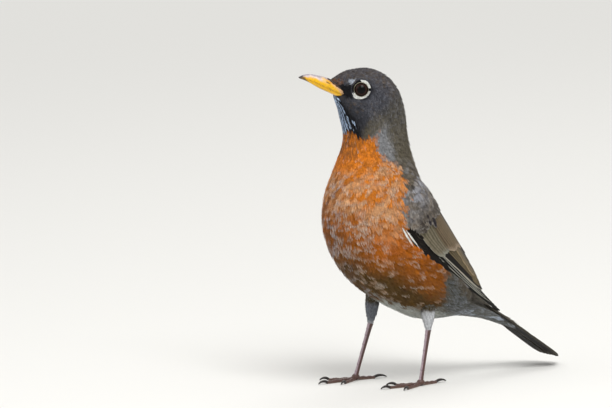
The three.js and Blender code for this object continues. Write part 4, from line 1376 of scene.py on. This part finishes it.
def makeMandible(name, outerRail, upper):
    # A half of the bill, closed by a slightly hollow face along the cutting edge.
    a = np.linspace(-0.5, 0.5, bill["around"]) * math.pi
    back = np.linspace(0, 1, bill["inner"] + 2)[1:-1]
    hollow = -0.06 * np.sin(math.pi * back)
    t, cosA = grid(np.linspace(0, 1, bill["rings"]), np.append(np.cos(a), hollow))
    sinA = np.broadcast_to(np.append(np.sin(a), 1 - 2 * back), t.shape)
    angle = np.arctan2(sinA, np.maximum(cosA, 0))
    oval = np.hypot((t - nostril["along"]) / nostril["halfLength"],
                    (np.abs(angle) - nostril["angle"]) / nostril["halfAngle"])
    dent = 0.02 * np.sin(angle * 26 + 3 * np.sin(t * 9)) * smooth(1.0, 0.8, t)  # furrows
    if upper:
        # the nostril is a pit with a raised rim
        dent = dent + 0.4 * smooth(1.0, 0.3, oval) - 0.08 * band(oval, 0.9, 1.2, 1.2, 1.7)
    points = billPoint(outerRail, t, cosA, sinA, -dent)
    # colours: yellow, orange-brown at the root, dusky along the ridge with a pale lilac painted
    # highlight, a dark tip, brown flecks along the cutting edge, painted shade in the nostril's pit
    # and on the lower half's underside, and a flesh-coloured corner
    random = np.random.default_rng(7 + upper)
    ridge = np.abs(angle) / (math.pi / 2)
    wobble = 0.06 * np.sin(t * 21 + angle * 2) + 0.04 * np.sin(t * 47 - angle * 5)
    uneven = 0.5 * np.sin(t * 143) + 0.4 * np.sin(t * 51 + 2) + random.normal(0, 0.7, t.shape)
    flecks = smooth(0.8 if upper else 0.9, 0.98, ridge - 0.4 * wobble) * smooth(-0.4, 1.2, uneven)
    layers = [
        ("gape", smooth(0.26, 0.12, t + wobble * 0.5) * smooth(0.4, 0.7, ridge) * 0.9),
        ("tip", smooth(0.8, 0.95, t + wobble * 0.5 + 0.08 * (1 - ridge)) * 0.95),
        ("fleck", flecks * smooth(0.08, 0.2, t) * 0.6),
    ]
    if upper:
        layers = [
            ("orange", smooth(0.42, 0.2, t + wobble) * smooth(0.75, 0.45, ridge) * 0.8),
            # the lilac is a painted highlight along the ridge
            ("lilac", smooth(0.75, 0.4, ridge + wobble) * smooth(0.26, 0.46, t) * 0.85),
            ("dusky", smooth(0.44, 0.2, ridge + wobble) * smooth(0.12, 0.24, t) * 0.8),
            # the nostril's pit is painted in the flecks' brown, as shade in the recess
            ("fleck", smooth(1.0, 0.5, oval) * 0.8),
        ] + layers
    else:
        # the lower half's underside is painted a darker brownish yellow, as shade
        layers = [("under", smooth(0.6, 0.2, ridge) * 0.8)] + layers
    tint = billColour["yellow"]
    for key, share in layers:
        tint = mixed(tint, billColour[key], share)
    return tube(name, points, horn, tint)


def ridgeSurface(along, angle, lift):
    # the upper half of the bill: angle is 0 on its ridge and half at its edges
    return billPoint(culmenRail, along, np.cos(angle * math.pi), np.sin(angle * math.pi), lift)


def makeBillCoat():
    # small feathers on the bill's root, pointing back over the face
    random = np.random.default_rng(31)
    many = bill["feathers"]
    share, angle = evenly(np.arange(1, many + 1))
    angle = (angle - 0.5) * 0.94
    away = np.abs(angle)
    front = read(frontLine, away)
    along = front * (1 - share * 1.1) + random.normal(0, 0.008, many)
    speck = random.normal(0, 1, many)
    base = mixed(colour["brown"], colour["rust"], smooth(0.1, 0.24, away) * smooth(-1.0, 0.4, speck))
    black = np.maximum(smooth(0.28, 0.36, away), smooth(0.6, 1.2, speck))
    base = mixed(base, colour["throatBlack"], black)
    roots = {
        "u": along, "v": angle, "length": random.uniform(2.2, 3.2, many), "half": 0.5,
        "yaw": math.pi + random.normal(0, 0.12, many), "low": -0.25,
        "high": random.uniform(0.3, 0.75, many) * smooth(-0.05, 0.1, front - along) + 0.1,
        "down": base * 0.7, "base": base, "tip": lerp(base, colour["headEdge"], 0.5), "fringe": 0.4,
        "bakeU": angle + 0.5, "bakeV": np.clip(along * 2 + 0.3, 0, 0.98), "locks": 3, "loose": 1.0,
        "middle": 1.0,
    }
    finishPiece(plume("bill_root_coat", ridgeSurface, roots, 32), "head_feathers")


finishPiece(makeMandible("maxilla", culmenRail, True), "bill_horn", "upper_bill")
finishPiece(makeMandible("mandible", lowerRail, False), "bill_horn", "lower_bill")
makeBillCoat()
print("bill made")

# foot as [side, forward], ankle and hip as [side, forward, up]; near is the share of the lit thigh's
# colour, and the rest is painted shade
legs = [
    {"label": "left", "side": 1, "seed": 100, "near": 1.0,
     "foot": (19.5, -10.9), "ankle": (18.0, -17.5, 33.4), "hip": (16.0, -18.5, 52.0)},
    {"label": "right", "side": -1, "seed": 120, "near": 0.1,
     "foot": (-19.5, 9.8), "ankle": (-17.5, 0.3, 34.4), "hip": (-15.5, -0.6, 56.0)},
]
# radii run down from the hip and from the ankle; sunk is how far the skin lies under the coat
thigh = {"radii": [4.8, 4.1, 1.9], "rings": 24, "around": 28, "sunk": 0.9, "feathers": 420}
shank = {"shares": (0, 0.14, 0.5, 0.9, 1), "radii": [1.85, 1.6, 1.35, 1.35, 1.8], "plates": 9.0,
         "rings": 150, "around": 32}
knob = {"up": 2.05, "radii": [2.25, 2.6, 1.98]}  # the joint over the toes
# the toes' joints as shares of their length, and how thick each one is beside the plain taper
toeJoints = np.array([(0, 1.08), (0.2, 0.9), (0.38, 1.08), (0.56, 0.9), (0.74, 1.08), (0.9, 0.9),
                      (1, 1.08)])
# points down the claw's middle line: share of its length, height above the ground and radius
clawLine = np.array([(0, 1.05, 0.8), (0.3, 1.75, 0.85), (0.65, 1.65, 0.62), (0.9, 0.95, 0.42),
                     (1, 0.42, 0.12)])
# heading is measured from straight ahead towards the body's midline
toes = [
    {"name": "hind", "heading": 172, "length": 12, "girth": 1.25, "claw": 8.5},
    {"name": "inner", "heading": 30, "length": 14.5, "girth": 1.1, "claw": 6},
    {"name": "middle", "heading": 3, "length": 21.5, "girth": 1.2, "claw": 6.5},
    {"name": "outer", "heading": -27, "length": 16, "girth": 1.1, "claw": 5.5},
]
# front is a painted highlight down the shank's front; near is the thighs' colour in the light, and far
# their colour painted darker as shade
legColour = palette(front="#b09ca6", back="#4c2c26", toe="#50342c", pad="#7a6151", claw="#221b19",
                    near="#c6c8cb", far="#555a64", tip="#d0d2d6", skin="#7a6f63")


def ringFrames(points, radii, rows, sides):
    # a round limb's surface, with the places of rings of points on it and the way out at each
    surface = limbSurface(points, radii)
    t, round = grid(np.linspace(0, 1, rows), np.arange(sides) / sides)
    normal = unit(surface(t, round, 1 + 0 * t) - surface(t, round, 0 * t))
    return surface, t, round, normal


def makeThigh(leg, ankle):
    # thigh: its skin and its coat, which is paler on the lit left thigh and painted darker, as shade, on
    # the right one
    label, seed, hip = leg["label"], leg["seed"], at(*leg["hip"])
    path = [hip, lerp(hip, ankle, 0.55), lerp(ankle, hip, 0.04)]
    surface, t, round, _ = ringFrames(path, thigh["radii"], thigh["rings"], thigh["around"])
    made = tube(f"thigh_skin_{label}", surface(t, round, 0 * t - thigh["sunk"]), softFeather,
                legColour["skin"])
    finishPiece(made, "thigh_feathers", f"thigh_{label}")
    random = np.random.default_rng(seed)
    many = thigh["feathers"]
    along, round = evenly(np.arange(many))
    along = along * 0.92
    own = lerp(legColour["far"], legColour["near"], leg["near"])
    # the thigh's root takes the painted shade of the belly, where it meets the body
    base = mixed(colour["dusk"], own, smooth(0.16, 0.3, along)) * random.normal(1, 0.08, many)[:, None]
    base = mixed(base, legColour["near"], smooth(0.74, 0.86, along) * 0.7)
    roots = {
        "u": along, "v": round, "length": random.uniform(3.6, 5.0, many),
        "half": random.uniform(0.9, 1.3, many), "yaw": random.normal(0, 0.12, many), "low": -0.8,
        "high": random.normal(0.05, 0.15, many), "down": base * 0.6, "base": base,
        "tip": lerp(base, legColour["tip"], 0.6), "fringe": random.uniform(0.1, 0.7, many),
        "bakeU": round, "bakeV": along, "locks": 6, "loose": 1.2, "middle": 0.85,
    }
    finishPiece(plume(f"thigh_coat_{label}", surface, roots, seed + 1), "thigh_feathers")


def makeShank(label, ankle, hub):
    # shank: plates one over the other down its front, a smooth ridge behind
    path = [lerp(ankle, hub, share) for share in shank["shares"]]
    surface, t, round, normal = ringFrames(path, shank["radii"], shank["rings"], shank["around"])
    front = np.clip(-normal[..., 1], -1, 1)
    plate = (t * shank["plates"]) % 1
    lift = 0.16 * (plate**3) * smooth(-0.1, 0.5, front) + 0.12 * smooth(0.5, 1, -front) - 0.08
    # the front is painted lilac-grey, a painted highlight on the reddish-brown scales
    tint = mixed(legColour["back"], legColour["front"], smooth(0.45, 0.85, front) * 0.8)
    tint = tint * (1 - 0.35 * smooth(0.86, 1.0, plate) * smooth(-0.1, 0.5, front))[..., None]
    made = tube(f"shank_{label}", surface(t, round, lift), legSkin, tint)
    finishPiece(made, "leg_scales", f"shank_{label}")


def makeToe(label, toe, foot, ahead):
    # a toe: pads under its joints, and plates one over the other along its top
    joints, thick = toeJoints.T
    radii = toe["girth"] * (1 - 0.22 * joints) * thick
    path = foot + ahead * (0.6 + joints[:, None] * toe["length"])
    path[:, 2] = radii * 0.82 + 0.7 * (1 - joints) ** 8
    surface, t, round, normal = ringFrames(path, radii, 80, 24)
    top = smooth(0, 0.6, normal[..., 2])
    plate = (t * toe["length"] / 1.5) % 1
    points = surface(t, round, 0.12 * plate**3 * top - 0.05)
    points[..., 2] = np.maximum(points[..., 2], 0.0)
    tint = mixed(legColour["toe"], legColour["pad"], smooth(0.1, -0.6, normal[..., 2]))
    tint = tint * (1 - 0.3 * smooth(0.85, 1.0, plate) * top)[..., None]
    finishPiece(tube(f"toe_{toe['name']}_{label}", points, legSkin, tint), "leg_scales")


def makeClaw(label, toe, foot, ahead):
    # claw: it arches over and comes down to a point
    shares, heights, radii = clawLine.T
    path = foot + ahead * (toe["length"] + 0.7) + ahead * (shares[:, None] * toe["claw"])
    path[:, 2] = heights
    surface, t, round, _ = ringFrames(path, radii, 40, 18)
    points = surface(t, round, 0 * t)
    points[..., 2] = np.maximum(points[..., 2], 0.05)
    made = tube(f"nail_{toe['name']}_{label}", points, horn, legColour["claw"])
    finishPiece(made, "claw_horn", f"claw_{toe['name']}_{label}")


def makeLeg(leg):
    # thigh, shank, the joint over the toes, and the toes with their claws
    label, side = leg["label"], leg["side"]
    ankle, foot = at(*leg["ankle"]), at(*leg["foot"], 0.0)
    makeThigh(leg, ankle)
    makeShank(label, ankle, at(*leg["foot"], 2.4))
    # foot: the joint over the toes, a flattened ball
    theta, phi = grid(np.linspace(0.03, math.pi - 0.03, 24), np.linspace(0, 2 * math.pi, 33)[:-1])
    ball = np.stack([np.sin(theta) * np.cos(phi), np.sin(theta) * np.sin(phi), np.cos(theta)], axis=-1)
    points = at(*leg["foot"], knob["up"]) + ball * knob["radii"]
    made = tube(f"foot_joint_{label}", points, legSkin, legColour["toe"])
    finishPiece(made, "leg_scales", f"foot_{label}")
    for toe in toes:
        angle = math.radians(toe["heading"])
        ahead = np.array([-side * math.sin(angle), -math.cos(angle), 0])
        makeToe(label, toe, foot, ahead)
        makeClaw(label, toe, foot, ahead)


for leg in legs:
    makeLeg(leg)
print("legs made")
